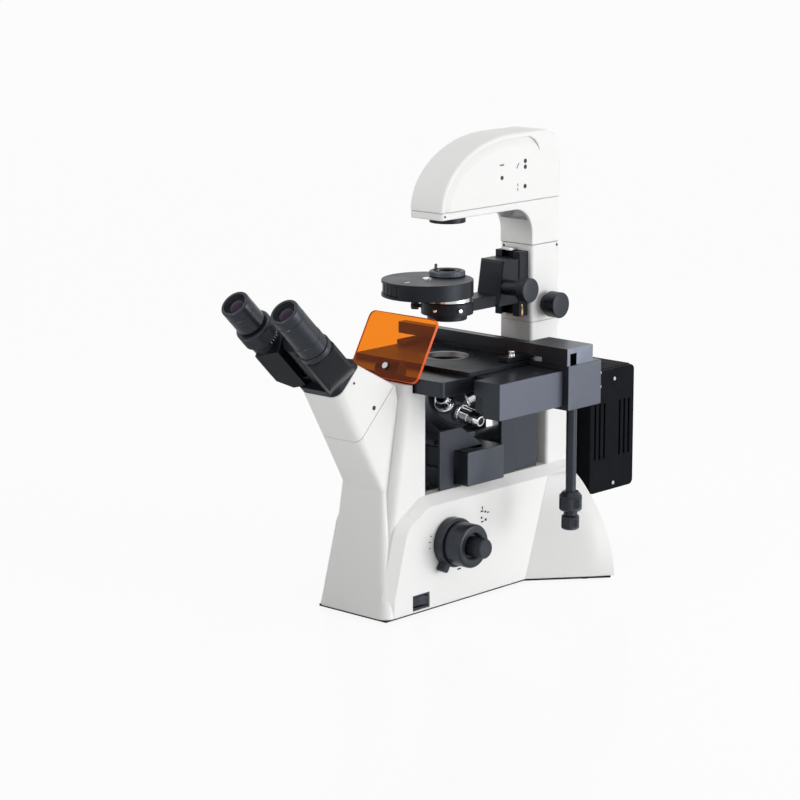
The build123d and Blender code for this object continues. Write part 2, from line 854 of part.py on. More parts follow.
with BuildPart() as coarse_shaft:
    disc(side(-coarse_face + knob_wall, focus_y, focus_z), coarse_shaft_radius, 2 * (coarse_face - knob_wall))
    with BuildSketch(side(focus_slide_x, focus_y, focus_z)):
        Circle(pinion_radius - 1.3 * module)
        with PolarLocations(pinion_radius, pinion_teeth):
            Polygon(*tooth(module - 0.1, -1.5 * module), align=None)
    extrude(amount=focus_carriage_x - focus_slide_x)
    shaft_bore = side(-coarse_face - 1, focus_y, focus_z)
    disc(shaft_bore, fine_shaft_radius + running, 2 * coarse_face + 2, Mode.SUBTRACT)
finish(coarse_shaft, "coarse_shaft")

with BuildPart() as fine_shaft:
    disc(side(-fine_face + knob_wall, focus_y, focus_z), fine_shaft_radius, 2 * (fine_face - knob_wall))
finish(fine_shaft, "fine_shaft")

with BuildPart() as coarse_knobs:
    for hand in (-1, 1):
        with BuildSketch(side(hand * (tension_face + gap), focus_y, focus_z)):
            scalloped(coarse_radius, 30, 0.5)
            Circle(coarse_shaft_radius + running, mode=Mode.SUBTRACT)
        extrude(amount=hand * (coarse_face - tension_face - gap))
finish(coarse_knobs, "coarse_knobs")

with BuildPart() as fine_knobs:
    for hand in (-1, 1):
        with BuildSketch(side(hand * (coarse_face + gap), focus_y, focus_z)):
            scalloped(fine_radius, 18, 0.4)
            Circle(fine_shaft_radius + running, mode=Mode.SUBTRACT)
        extrude(amount=hand * (fine_face - coarse_face - gap))
finish(fine_knobs, "fine_knobs")

lever_length = 9.0

with BuildPart() as tension_ring:
    with BuildSketch(side(base_half + gap, focus_y, focus_z)):
        Circle(tension_radius)
        with Locations(Location((0, 0), -125)):
            with Locations((tension_radius + lever_length / 2 - 3, 0)):
                RectangleRounded(lever_length + 4, 7, 2)
        Circle(coarse_shaft_radius + running, mode=Mode.SUBTRACT)
    extrude(amount=tension_face - base_half - gap)
finish(tension_ring, "tension_ring")

# Stage

shield_sin = sin(radians(shield_lean))
shield_cos = cos(radians(shield_lean))
shield_foot_y = frame_front - 1.5
shield_foot_z = plate_low - 2.0
shield_overhang = 4.0
lug_width = 32.0


def shield_back(t):
    """Side-view point on the back of the shield, t up its slope."""
    return (shield_foot_y + t * shield_sin, shield_foot_z + t * shield_cos)


shield_plane = Plane(
    origin=(axis_x, axis_y + shield_foot_y, shield_foot_z),
    x_dir=(1, 0, 0),
    z_dir=(0, -shield_cos, shield_sin),
)

with BuildPart() as stage_frame:
    with BuildSketch(plan(frame_low)):
        rounded_box(-frame_half, frame_half, frame_front, frame_rear, 4)
        Circle(frame_opening, mode=Mode.SUBTRACT)
        with Locations((0, frame_rear)):
            Rectangle(2 * (column_half + gap), 2 * (frame_rear - column_front + gap), mode=Mode.SUBTRACT)
    extrude(amount=frame_thickness)
    # lug that the shield is screwed to
    with BuildSketch(side(-lug_width / 2)):
        outline(
            (shield_foot_y + 4, plate_low - 1),
            shield_back(5),
            shield_back(18),
            (shield_back(18)[0] + 3, shield_back(18)[1]),
            (shield_back(18)[0] + 8, plate_low + 3),
            (shield_back(18)[0] + 8, plate_low - 1),
        )
    extrude(amount=lug_width)
finish(stage_frame, "stage_frame")

with BuildPart() as stage_plate:
    with BuildSketch(plan(plate_low)):
        rounded_box(-plate_half, plate_half, plate_front, plate_rear, 2)
        Circle(dish_hole, mode=Mode.SUBTRACT)
    extrude(amount=plate_thickness)
    disc(plan(stage_top - insert_thickness), insert_radius, insert_thickness + 1, Mode.SUBTRACT)
finish(stage_plate, "stage_plate")

with BuildPart() as stage_insert:
    with BuildSketch(plan(stage_top - insert_thickness)):
        Circle(insert_radius - running)
    extrude(amount=insert_thickness)
    disc(plan(stage_top - insert_thickness - insert_hub), dish_hole - running, insert_hub)
    disc(plan(plate_low - insert_hub), insert_hole, 2 * insert_hub + plate_thickness, Mode.SUBTRACT)
finish(stage_insert, "stage_insert")

with BuildPart() as y_guide:
    with BuildSketch(plan(guide_low)):
        box_between(guide_inner, guide_outer, guide_front, guide_rear)
        box_between(guide_inner, guide_outer - rail_step, guide_rear - 1, rail_rear)
    extrude(amount=guide_high - guide_low)
    with BuildSketch(face(guide_front + 0.9 * notch_length)):
        outline(
            (guide_inner, guide_low),
            (guide_inner + notch_width, guide_low),
            (guide_inner + notch_width, guide_high - notch_drop),
            (guide_inner + notch_ledge, guide_high - notch_drop),
            (guide_inner + notch_ledge, guide_high),
            (guide_inner, guide_high),
        )
    extrude(amount=notch_length, mode=Mode.SUBTRACT)
finish(y_guide, "y_guide")

bar_low = stage_top + gap
carriage_top = guide_high + gap

with BuildPart() as y_carriage:
    with BuildSketch(face(carriage_rear)):
        outline(
            (guide_outer + gap, guide_low - gap),
            (guide_outer + gap, carriage_top),
            (plate_half + gap, carriage_top),
            (plate_half + gap, bar_low),
            (carriage_outer, bar_low),
            (carriage_outer, guide_low - gap - carriage_floor),
            (guide_outer - 3 * rail_step, guide_low - gap - carriage_floor),
            (guide_outer - 3 * rail_step, guide_low - gap),
        )
    extrude(amount=carriage_rear - carriage_front)
    neck_bore = plan(guide_low - 2 * carriage_floor, shaft_x, shaft_y)
    disc(neck_bore, neck_radius + running, 3 * carriage_floor, Mode.SUBTRACT)
finish(y_carriage, "y_carriage")

slot_front = bar_front + bar_wall
slot_rear = slot_front + slot_width
bar_bottom = stage_top + bar_lift

with BuildPart() as x_bar:
    # front wall and top of the bar, over the specimen holder
    with BuildSketch(side(bar_left)):
        box_between(bar_front, bar_front + bar_depth, slot_high, bar_high)
        box_between(bar_front, slot_front, bar_bottom, bar_high)
    extrude(amount=block_left - bar_left + 1)
    # drive block on the carriage, with the slot that the holder runs through
    with BuildSketch(side(block_left)):
        box_between(bar_front, block_rear, bar_bottom, bar_high)
    extrude(amount=carriage_outer - block_left)
    with BuildSketch(side(block_foot)):
        box_between(bar_front, block_rear, bar_low, bar_high)
    extrude(amount=carriage_outer - block_foot)
    with BuildSketch(side(block_left - 1)):
        box_between(slot_front, slot_rear, bar_low - 1, slot_high)
    extrude(amount=carriage_outer - block_left + 2, mode=Mode.SUBTRACT)
finish(x_bar, "x_bar")

holder_end = holder_inner + jaw_width
holder_low = bar_low + gap
jaw_screw_radius = 3.0
jaw_screw_height = 5.0

with BuildPart() as x_slider:
    with BuildSketch(side(-holder_end)):
        box_between(slot_front + gap, slot_rear - gap, holder_low, slot_high - gap)
    extrude(amount=2 * holder_end)
    for inner in (-holder_end, holder_inner):
        with BuildSketch(plan(holder_low)):
            box_between(inner, inner + jaw_width, jaw_front, slot_front + 2 * gap)
        extrude(amount=jaw_height)
    jaw_middle = holder_inner + jaw_width / 2
    disc(plan(holder_low + jaw_height, jaw_middle, bar_front - jaw_width), jaw_screw_radius, jaw_screw_height)
finish(x_slider, "x_slider")

upper_knob_low = sleeve_bottom - upper_knob_height
lower_knob_low = upper_knob_low - lower_knob_height
sleeve_top = guide_low - 2 * gap - carriage_floor

with BuildPart() as y_shaft:
    disc(plan(sleeve_bottom, shaft_x, shaft_y), sleeve_radius, sleeve_top - sleeve_bottom)
    disc(plan(sleeve_top, shaft_x, shaft_y), neck_radius, carriage_floor)
    with BuildSketch(plan(upper_knob_low, shaft_x, shaft_y)):
        scalloped(upper_knob_radius, 20, 0.5)
    extrude(amount=upper_knob_height)
    shaft_bore = plan(upper_knob_low - 1, shaft_x, shaft_y)
    disc(shaft_bore, inner_shaft_radius + running, 2 * guide_low, Mode.SUBTRACT)
finish(y_shaft, "y_shaft")

with BuildPart() as x_shaft:
    disc(plan(lower_knob_low, shaft_x, shaft_y), inner_shaft_radius, guide_low - 1.5 * gap - lower_knob_low)
    with BuildSketch(plan(lower_knob_low, shaft_x, shaft_y)):
        scalloped(lower_knob_radius, 18, 0.5)
    extrude(amount=lower_knob_height - 5)
    disc(plan(upper_knob_low - 5, shaft_x, shaft_y), lower_knob_radius - 2, 5 - gap)
finish(x_shaft, "x_shaft")

# Orange shield, screwed to the lug on the front of the stage

with BuildPart() as uv_shield:
    with BuildSketch(shield_plane):
        with Locations((0, shield_height / 2 - shield_overhang)):
            RectangleRounded(shield_width, shield_height, shield_corner)
    extrude(amount=shield_thickness)
finish(uv_shield, "uv_shield")

with BuildPart() as shield_screw:
    screw_at = shield_plane.from_local_coords(Vector(0, 9, shield_thickness))
    disc(Plane(origin=screw_at, z_dir=shield_plane.z_dir), 3.5, 2.2)
finish(shield_screw, "shield_screw")

# Power switch in the right cheek and inlet at the rear

rocker_gap = 1.0
frame_lip = 2.5
pivot_radius = 1.5

with BuildPart() as switch_frame:
    with BuildSketch(side(base_half - base_wall)):
        tall = switch_high - switch_low
        with Locations((switch_y, switch_low + tall / 2)):
            Rectangle(2 * (switch_half - running), tall - 2 * running)
            Rectangle(2 * (switch_half - frame_lip), tall - 2 * frame_lip, mode=Mode.SUBTRACT)
    extrude(amount=base_wall - 1)
finish(switch_frame, "switch_frame")

with BuildPart() as power_rocker:
    half = switch_half - frame_lip - rocker_gap
    front_x = base_half - 1.5
    with BuildSketch(plan(switch_low + frame_lip + rocker_gap, 0, switch_y)):
        outline(
            (front_x - 1, -half),
            (front_x - 2, 0),
            (front_x + 1, half),
            (front_x - 5, half),
            (front_x - 5, -half),
        )
    extrude(amount=switch_high - switch_low - 2 * (frame_lip + rocker_gap))
    # pivot pins at both ends
    pivot = plan(switch_low + frame_lip + gap, front_x - 3, switch_y)
    disc(pivot, pivot_radius, switch_high - switch_low - 2 * (frame_lip + gap))
finish(power_rocker, "power_rocker")

with BuildPart() as power_inlet:
    with BuildSketch(face(rear_pillar_back, 0, inlet_z)):
        Rectangle(2 * (inlet_half - running), inlet_height - 2 * running)
        RectangleRounded(2 * inlet_half - 6, inlet_height - 6, 3, mode=Mode.SUBTRACT)
    extrude(amount=inlet_depth)
    with BuildSketch(face(rear_pillar_back - inlet_depth, 0, inlet_z)):
        Rectangle(2 * (inlet_half - running), inlet_height - 2 * running)
    extrude(amount=2)
    with BuildSketch(face(rear_pillar_back - inlet_recess, 0, inlet_z)):
        with GridLocations(inlet_half / 2, 0, 3, 1):
            Rectangle(2, 5)
    extrude(amount=inlet_depth - inlet_recess)
finish(power_inlet, "power_inlet")

# Lamp column, hinged at its rear foot, and the lamp arm

with BuildPart() as column:
    with BuildSketch(plan(column_foot + seam)):
        rounded_box(-column_half, column_half, column_front, column_rear, column_corner)
    extrude(amount=column_top - column_foot - seam)
    ear_room = side(-knuckle_outer - gap, column_rear, column_foot)
    disc(ear_room, hinge_radius + gap, 2 * (knuckle_outer + gap), Mode.SUBTRACT)
    disc(side(-knuckle_inner, column_rear, column_foot), hinge_radius, 2 * knuckle_inner)
    with BuildSketch(side(-knuckle_inner)):
        outline(
            (column_rear, column_foot + seam),
            (column_rear, column_foot + 2 * hinge_radius),
            (column_rear - 2 * hinge_radius, column_foot + 2 * hinge_radius),
            (column_rear - 2 * hinge_radius, column_foot + seam),
        )
    extrude(amount=2 * knuckle_inner)
    pin_start = side(-knuckle_outer, column_rear, column_foot)
    disc(pin_start, hinge_pin_radius + running, 2 * knuckle_outer, Mode.SUBTRACT)
    clamp_bore = side(-column_half, clamp_knob_y, clamp_knob_z)
    disc(clamp_bore, knob_shaft_radius + running, 3 * column_half, Mode.SUBTRACT)
finish(column, "column")

with BuildPart() as hinge_pin:
    disc(side(-knuckle_outer, column_rear, column_foot), hinge_pin_radius, 2 * knuckle_outer)
finish(hinge_pin, "hinge_pin")


def knob(x, y, z, radius, height, neck):
    """Round knob on the right: a slim neck, a step and a plain grip."""
    disc(side(x, y, z), radius - 5, neck)
    disc(side(x + neck, y, z), radius - 1.5, 2)
    disc(side(x + neck + 2, y, z), radius, height)


with BuildPart() as clamp_knob:
    disc(side(0, clamp_knob_y, clamp_knob_z), knob_shaft_radius, column_half + gap)
    knob(column_half + gap, clamp_knob_y, clamp_knob_z, knob_radius, knob_height, clamp_neck)
finish(clamp_knob, "clamp_knob")

with BuildPart() as arm_lower:
    with BuildSketch(side(-arm_half)):
        with BuildLine():
            Polyline(
                (column_front - soffit_radius, arm_low),
                (arm_front, arm_low),
                (arm_front, arm_seam),
                (arm_rear, arm_seam),
                (arm_rear, column_top + seam),
                (column_front, column_top + seam),
                (column_front, arm_low - soffit_radius),
            )
            RadiusArc(
                (column_front, arm_low - soffit_radius),
                (column_front - soffit_radius, arm_low),
                -soffit_radius,
            )
        make_face()
    extrude(amount=2 * arm_half)
    fillet(arm_lower.edges().filter_by(Axis.Z).sort_by(Axis.Y)[:2], radius=arm_rim)
    fillet(arm_lower.edges().filter_by(Axis.Z).sort_by(Axis.Y)[-2:], radius=arm_rim)
    # hollow between the side walls where the neck meets the arm
    with BuildSketch(plan(arm_low - soffit_radius / 2)):
        inside = arm_half - soffit_wall
        box_between(-inside, inside, column_front - 1.5 * soffit_radius, column_front + soffit_depth)
    extrude(amount=arm_seam - soffit_wall - arm_low + soffit_radius / 2, mode=Mode.SUBTRACT)
    disc(plan(arm_low - 1), field_lens_radius + running, arm_seam - arm_low + 2, Mode.SUBTRACT)
finish(arm_lower, "arm_lower")

crown_span = arm_crown_y - arm_front
crown_rise = arm_high - arm_seam
panel_floor = arm_half - arm_groove
cover_core = panel_floor - arm_wall


def arm_outline(inset, rear, corner):
    """Side of the lamp arm moved in by an inset: curved front, level top, rounded corner at the rear."""
    with Locations((arm_crown_y, arm_seam)):
        Ellipse(crown_span - inset, crown_rise - inset)
        with Locations((crown_span, 0)):
            Rectangle(2 * crown_span, 4 * crown_rise, mode=Mode.SUBTRACT)
    box_between(arm_crown_y, rear, arm_low, arm_high - inset)
    with Locations((arm_crown_y, arm_low - crown_rise)):
        Rectangle(4 * crown_span, 2 * crown_rise, mode=Mode.SUBTRACT)
    fillet(vertices().group_by(Axis.X)[-1].sort_by(Axis.Y)[-1:], radius=corner)


with BuildPart() as arm_cover:
    with BuildSketch(side(-arm_half)):
        arm_outline(0, arm_rear, arm_rear_rounding)
    extrude(amount=2 * arm_half)
    rims = arm_cover.edges().filter_by(lambda e: abs(abs(e.center().X - axis_x) - arm_half) < 0.01)
    fillet(rims.filter_by(lambda e: e.center().Z > arm_seam + 2), radius=arm_rim - 1)
    # groove inside the rim of each side, with a broad bevel up to a raised panel that runs out at the rear
    for hand in (-1, 1):
        with BuildSketch(side(hand * panel_floor)):
            arm_outline(arm_groove_inset, arm_panel_rear, arm_panel_corner - arm_groove_inset)
        extrude(amount=hand * (arm_groove + 1), mode=Mode.SUBTRACT)
        for x, inset in ((panel_floor, arm_groove_inset), (arm_half, arm_groove_inset + arm_bevel)):
            with BuildSketch(side(hand * x)):
                arm_outline(inset, arm_panel_rear, arm_panel_corner - inset)
        loft(ruled=True)
    hollow = arm_groove_inset + arm_wall
    with BuildSketch(side(-cover_core)):
        arm_outline(hollow, arm_rear - hollow, arm_rear_rounding - hollow)
    extrude(amount=2 * cover_core, mode=Mode.SUBTRACT)
    with BuildSketch(side(-arm_half - 1)):
        box_between(arm_front - 1, arm_rear + 1, arm_low - 1, arm_seam + seam)
    extrude(amount=2 * arm_half + 2, mode=Mode.SUBTRACT)
finish(arm_cover, "arm_cover")

with BuildPart() as field_lens_ring:
    with BuildSketch(plan(arm_low - lens_ring_height)):
        Circle(lens_ring_radius)
        Circle(field_lens_radius - 2, mode=Mode.SUBTRACT)
    extrude(amount=lens_ring_height)
finish(field_lens_ring, "field_lens_ring")

with BuildPart() as field_lens:
    disc(plan(arm_low), field_lens_radius, lens_thickness - 2)
finish(field_lens, "field_lens")

# Condenser on its dovetail slide

dovetail_flare = 5.0
slot_depth = rail_depth - 4
rail_front = column_front - rail_depth
carrier_back = rail_front - gap


def dovetail(half, front, back):
    """Plan of a dovetail that widens towards the back."""
    outline((-half, front), (half, front), (half + dovetail_flare, back), (-half - dovetail_flare, back))


with BuildPart() as dovetail_rail:
    with BuildSketch(plan(rail_low)):
        box_between(-rail_half, rail_half, rail_front, column_front)
    extrude(amount=rail_high - rail_low)
    with BuildSketch(plan(rail_low - 1)):
        dovetail(slot_half, rail_front, rail_front + slot_depth)
    extrude(amount=rail_high - rail_low + 2, mode=Mode.SUBTRACT)
finish(dovetail_rail, "dovetail_rail")

carrier_half = 16.0

with BuildPart() as condenser_carrier:
    with BuildSketch(side(-carrier_half)):
        outline(
            (carrier_front, carrier_low),
            (carrier_front_top, carrier_high),
            (carrier_back, carrier_high),
            (carrier_back, carrier_low),
        )
    extrude(amount=2 * carrier_half)
    fronts = condenser_carrier.faces().sort_by(Axis.Y)[0].edges()
    chamfer(fronts, length=2.5)
    with BuildSketch(plan(carrier_low)):
        dovetail(slot_half - 1.5 * gap, rail_front - 2 * gap, rail_front + slot_depth - gap)
    extrude(amount=carrier_high - carrier_low)
    with BuildSketch(plan(carrier_low)):
        box_between(-bracket_half, bracket_half, holder_bore, carrier_front + 8)
        Circle(holder_radius)
        Circle(holder_bore, mode=Mode.SUBTRACT)
    extrude(amount=bracket_height)
    knob_bore = side(-carrier_half - 1, condenser_knob_y, condenser_knob_z)
    disc(knob_bore, knob_shaft_radius + running, 3 * carrier_half, Mode.SUBTRACT)
finish(condenser_carrier, "condenser_carrier")

with BuildPart() as condenser_knob:
    disc(side(-carrier_half, condenser_knob_y, condenser_knob_z), knob_shaft_radius, 2 * carrier_half + gap)
    start = carrier_half + gap
    knob(start, condenser_knob_y, condenser_knob_z, focus_grip_radius, focus_grip_height, focus_neck)
finish(condenser_knob, "condenser_knob")

holder_top = carrier_low + bracket_height
disc_top = phase_disc_low + phase_disc_thickness
disc_pin_radius = 4.0
ring_neck = 12.0
window_turn = -135.0      # the edge of the phase disc shows at the front left
disc_edge = phase_disc_radius - disc_wall - gap

with BuildPart() as condenser_housing:
    disc(plan(condenser_low), holder_bore - running, holder_top - condenser_low)
    disc(plan(holder_top), condenser_flange, phase_disc_low - holder_top)
    disc(plan(phase_disc_low, 0, phase_disc_y), phase_disc_radius, phase_disc_thickness)
    disc(plan(disc_top), ring_neck, top_ring_height)
    cavity = plan(phase_disc_low + disc_floor, 0, phase_disc_y)
    cavity_height = phase_disc_thickness - 2 * disc_floor
    disc(cavity, phase_disc_radius - disc_wall, cavity_height, Mode.SUBTRACT)
    with BuildSketch(cavity):
        with Locations(Location((0, 0), window_turn)):
            with Locations((phase_disc_radius, 0)):
                Rectangle(2 * (phase_disc_radius / 3), 2 * phase_disc_radius)
    extrude(amount=cavity_height, mode=Mode.SUBTRACT)
    disc(cavity, disc_pin_radius, cavity_height)
    disc(plan(condenser_low - 1), beam_bore, disc_top, Mode.SUBTRACT)
finish(condenser_housing, "condenser_housing")

annulus_count = 5
annulus_radius = 9.5

with BuildPart() as phase_disc:
    with BuildSketch(plan(phase_disc_low + disc_floor + gap, 0, phase_disc_y)):
        scalloped(disc_edge, 36, 0.6)
        Circle(disc_pin_radius + running, mode=Mode.SUBTRACT)
        with PolarLocations(-phase_disc_y, annulus_count, start_angle=90):
            Circle(annulus_radius, mode=Mode.SUBTRACT)
    extrude(amount=cavity_height - 2 * gap)
finish(phase_disc, "phase_disc")

with BuildPart() as iris_ring:
    with BuildSketch(plan(disc_top + gap)):
        Circle(top_ring_radius)
        Circle(ring_neck + running, mode=Mode.SUBTRACT)
    extrude(amount=top_ring_height - gap)
    disc(plan(disc_top + top_ring_height, -top_ring_radius + 3, 0), 1.6, 5)
finish(iris_ring, "iris_ring")

# Viewing head: two prism arms swing about the tube axis and carry the eyepieces

eye_droop = degrees(atan2(eye_drop, eye_x))
disc_gap = seam
right_disc_h = arm_low_h
left_disc_h = right_disc_h + arm_disc + disc_gap
hub_low_h = left_disc_h + arm_disc + disc_gap
sleeve_bore = 13.0
eye_cup_h = 95.0
arm_side = [
    (arm_inner, arm_low_h),
    (arm_toe, arm_low_h),
    (arm_end, arm_heel_h),
    (arm_end, arm_high_h),
    (arm_inner, arm_high_h),
]

with BuildPart() as head_body:
    with BuildSketch(tube_plane(seam)):
        front_rounded(nose_half, -joint_low, joint_high, joint_rounding, cover_rounding)
    extrude(amount=head_block - seam)
    disc(tube_plane(head_block - 1), hub_pin_radius, hub_low_h - head_block + 2)
    disc(tube_plane(hub_low_h), hub_radius, arm_high_h - 2 - hub_low_h)
    disc(tube_plane(0), hub_pin_radius - 2, arm_high_h - 6, Mode.SUBTRACT)
finish(head_body, "head_body")


def prism_arm(hand, disc_h):
    """Pivot disc, link and prism housing of one viewing arm; the housing slopes in at its lower end."""
    outward = Vector(hand * cos(radians(eye_droop)), 0, 0) - tube_plane(0).y_dir * sin(radians(eye_droop))
    across = Plane(origin=tube_plane(0).origin, x_dir=outward, z_dir=outward.cross(tube_plane(0).z_dir))
    disc(tube_plane(disc_h), hub_radius, arm_disc)
    with Locations(across):
        with Locations(((arm_inner + 4) / 2, disc_h + arm_disc / 2, 0)):
            Box(arm_inner + 4, arm_disc, 1.4 * hub_radius)
    return across


with BuildPart() as right_arm:
    with BuildSketch(prism_arm(1, right_disc_h)):
        outline(*arm_side)
    extrude(amount=arm_width, both=True)
    chamfer(right_arm.faces().sort_by(Axis.X)[-1].edges(), length=arm_corner)
    disc(tube_plane(0), hub_pin_radius + running, arm_high_h, Mode.SUBTRACT)
finish(right_arm, "right_arm")

with BuildPart() as left_arm:
    with BuildSketch(prism_arm(-1, left_disc_h)):
        outline(*arm_side)
    extrude(amount=arm_width, both=True)
    chamfer(left_arm.faces().sort_by(Axis.X)[0].edges(), length=arm_corner)
    disc(tube_plane(0), hub_pin_radius + running, arm_high_h, Mode.SUBTRACT)
    disc(tube_plane(arm_high_h, -eye_x, -eye_drop), tube_radius, dioptre_low_h - gap - arm_high_h)
    disc(tube_plane(arm_high_h + 4, -eye_x, -eye_drop), sleeve_bore, dioptre_low_h, Mode.SUBTRACT)
finish(left_arm, "left_arm")

with BuildPart() as right_eyepiece:
    disc(tube_plane(arm_high_h, eye_x, -eye_drop), tube_radius + 1.5, 6)
    disc(tube_plane(arm_high_h, eye_x, -eye_drop), tube_radius, 20)
    disc(tube_plane(arm_high_h, eye_x, -eye_drop), eye_radius, eye_top_h - arm_high_h)
    taper(tube_plane(eye_top_h - 5, eye_x, -eye_drop), eye_radius - 5, eye_radius - 2, 5, Mode.SUBTRACT)
finish(right_eyepiece, "right_eyepiece")

with BuildPart() as dioptre_ring:
    with BuildSketch(tube_plane(dioptre_low_h, -eye_x, -eye_drop)):
        scalloped(dioptre_radius, 30, 0.5)
        Circle(sleeve_bore, mode=Mode.SUBTRACT)
    extrude(amount=eye_cup_h - dioptre_low_h)
finish(dioptre_ring, "dioptre_ring")

with BuildPart() as left_eyepiece:
    disc(tube_plane(arm_high_h + 12, -eye_x, -eye_drop), sleeve_bore - running, eye_top_h - arm_high_h - 14)
    cup_low_h = eye_cup_h + dioptre_travel
    disc(tube_plane(cup_low_h, -eye_x, -eye_drop), eye_radius, eye_top_h - cup_low_h)
    taper(tube_plane(eye_top_h - 5, -eye_x, -eye_drop), eye_radius - 5, eye_radius - 2, 5, Mode.SUBTRACT)
finish(left_eyepiece, "left_eyepiece")
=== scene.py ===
import json
from math import cos, pi, radians, sin

import bmesh
import bpy
import numpy as np
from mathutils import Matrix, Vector


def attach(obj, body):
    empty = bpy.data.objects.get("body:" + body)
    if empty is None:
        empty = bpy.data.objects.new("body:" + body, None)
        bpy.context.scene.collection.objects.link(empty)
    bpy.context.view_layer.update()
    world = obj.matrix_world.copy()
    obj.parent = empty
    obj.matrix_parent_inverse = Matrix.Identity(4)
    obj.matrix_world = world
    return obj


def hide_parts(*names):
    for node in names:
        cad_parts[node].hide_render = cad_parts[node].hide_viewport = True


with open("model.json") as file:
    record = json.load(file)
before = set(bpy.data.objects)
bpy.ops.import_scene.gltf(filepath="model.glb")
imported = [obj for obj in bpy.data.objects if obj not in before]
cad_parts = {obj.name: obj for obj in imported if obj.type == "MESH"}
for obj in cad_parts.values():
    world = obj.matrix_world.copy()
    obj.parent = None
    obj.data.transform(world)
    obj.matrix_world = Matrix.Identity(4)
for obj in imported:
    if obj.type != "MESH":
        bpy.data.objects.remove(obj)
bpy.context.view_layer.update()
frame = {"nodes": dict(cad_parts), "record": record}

bl_info = {
    "name": "Inverted microscope looks",
    "version": (1, 0, 0),
    "blender": (4, 5, 0),
    "location": "View3D > Sidebar > Microscope",
    "description": "Dresses the packed inverted microscope with paint, metal, glass and fine detail",
    "category": "Object",
}

RECORD = frame["record"]
BODY_OF = {n: b for b, names in RECORD["behaviour"]["bodies"].items() for n in names}
SLOT_OF = {s["node"]: s["material_slot"] for s in RECORD["subparts"]}
MM = 0.001
AXIS = np.array([-0.0115, 0.019, 0.0])    # foot of the optical axis in the frame of the part
SLANT = radians(45)                       # slope of the viewing tubes
TUBE_AXIS = np.array([0.0, -cos(SLANT), sin(SLANT)])
MIRROR_Z = 81.5                           # height at which the viewing axis leaves the optical axis
JOINT_REACH = 249.2                       # from there along the viewing axis to the joint of the head
TUBE_DROP = 13.0                          # eyepiece axes below the viewing axis
EYE_HALF = 34.2                           # from the middle to each eyepiece axis
CONE = radians(50)                        # between the turret axis and each objective
FOCUS_Y, FOCUS_Z = -51.0, 70.0            # place of the focus shaft, which runs along X
X, Y, Z = np.eye(3)


def at(x, y, z):
    """Point in metres from millimetres counted from the foot of the optical axis."""
    return AXIS + MM * np.array([x, y, z], float)


# Materials: each finish is one node tree in Object coordinates

NOISE_ROUGHNESS = 0.55
NOISE_LOW, NOISE_HIGH = 0.3, 0.7          # span of the noise that is used, since its ends are rare


def new_finish(name):
    """Empty Principled material: returns the material, its nodes, its links and the shader."""
    mat = bpy.data.materials.new(name)
    mat.use_nodes = True
    tree = mat.node_tree
    shader = tree.nodes["Principled BSDF"]
    return mat, tree.nodes, tree.links, shader


def noise_field(nodes, links, scale, detail=3.0):
    """Fractal noise read in Object coordinates, so that it stays on the piece."""
    coord = nodes.new("ShaderNodeTexCoord")
    field = nodes.new("ShaderNodeTexNoise")
    field.inputs["Scale"].default_value = scale
    field.inputs["Detail"].default_value = detail
    field.inputs["Roughness"].default_value = NOISE_ROUGHNESS
    links.new(coord.outputs["Object"], field.inputs["Vector"])
    return field


def tone_between(nodes, links, shader, field, low, high):
    """Base colour that goes from low to high with a noise field."""
    ramp = nodes.new("ShaderNodeValToRGB")
    ramp.color_ramp.elements[0].position = NOISE_LOW
    ramp.color_ramp.elements[1].position = NOISE_HIGH
    ramp.color_ramp.elements[0].color = (*low, 1)
    ramp.color_ramp.elements[1].color = (*high, 1)
    links.new(field.outputs["Fac"], ramp.inputs["Fac"])
    links.new(ramp.outputs["Color"], shader.inputs["Base Color"])


def gloss_between(nodes, links, shader, field, low, high):
    """Roughness that goes from low to high with a noise field."""
    span = nodes.new("ShaderNodeMapRange")
    span.inputs["From Min"].default_value = NOISE_LOW
    span.inputs["From Max"].default_value = NOISE_HIGH
    span.inputs["To Min"].default_value = low
    span.inputs["To Max"].default_value = high
    links.new(field.outputs["Fac"], span.inputs["Value"])
    links.new(span.outputs["Result"], shader.inputs["Roughness"])


def surface_bump(nodes, links, shader, field, depth):
    """Bump of a depth in metres from a noise field."""
    bump = nodes.new("ShaderNodeBump")
    bump.inputs["Distance"].default_value = depth
    bump.inputs["Strength"].default_value = 1.0
    links.new(field.outputs["Fac"], bump.inputs["Height"])
    links.new(bump.outputs["Normal"], shader.inputs["Normal"])
    return bump


def painted(name, low, high, rough, grain, depth, gloss=0.5, tint=(1.0, 1.0, 1.0), edge=0.0):
    """Sprayed or anodised surface: a slow change of tone, a satin gloss that varies a little and a fine
    orange peel. Where an edge radius is given, edges catch the light as if they were rounded."""
    mat, nodes, links, shader = new_finish(name)
    tone_between(nodes, links, shader, noise_field(nodes, links, 9.0), low, high)
    gloss_between(nodes, links, shader, noise_field(nodes, links, 45.0), *rough)
    bump = surface_bump(nodes, links, shader, noise_field(nodes, links, grain, 2.0), depth)
    if edge:
        soft = nodes.new("ShaderNodeBevel")
        soft.samples = 4
        soft.inputs["Radius"].default_value = edge
        links.new(soft.outputs["Normal"], bump.inputs["Normal"])
    shader.inputs["Specular IOR Level"].default_value = gloss
    shader.inputs["Specular Tint"].default_value = (*tint, 1)
    return mat


def plated(name, low, high, rough, grain, depth):
    """Bare or plated metal: clean colour, cloudy roughness and faint polishing marks."""
    mat, nodes, links, shader = new_finish(name)
    shader.inputs["Metallic"].default_value = 1.0
    tone_between(nodes, links, shader, noise_field(nodes, links, 30.0), low, high)
    gloss_between(nodes, links, shader, noise_field(nodes, links, 160.0, 4.0), *rough)
    surface_bump(nodes, links, shader, noise_field(nodes, links, grain, 4.0), depth)
    return mat


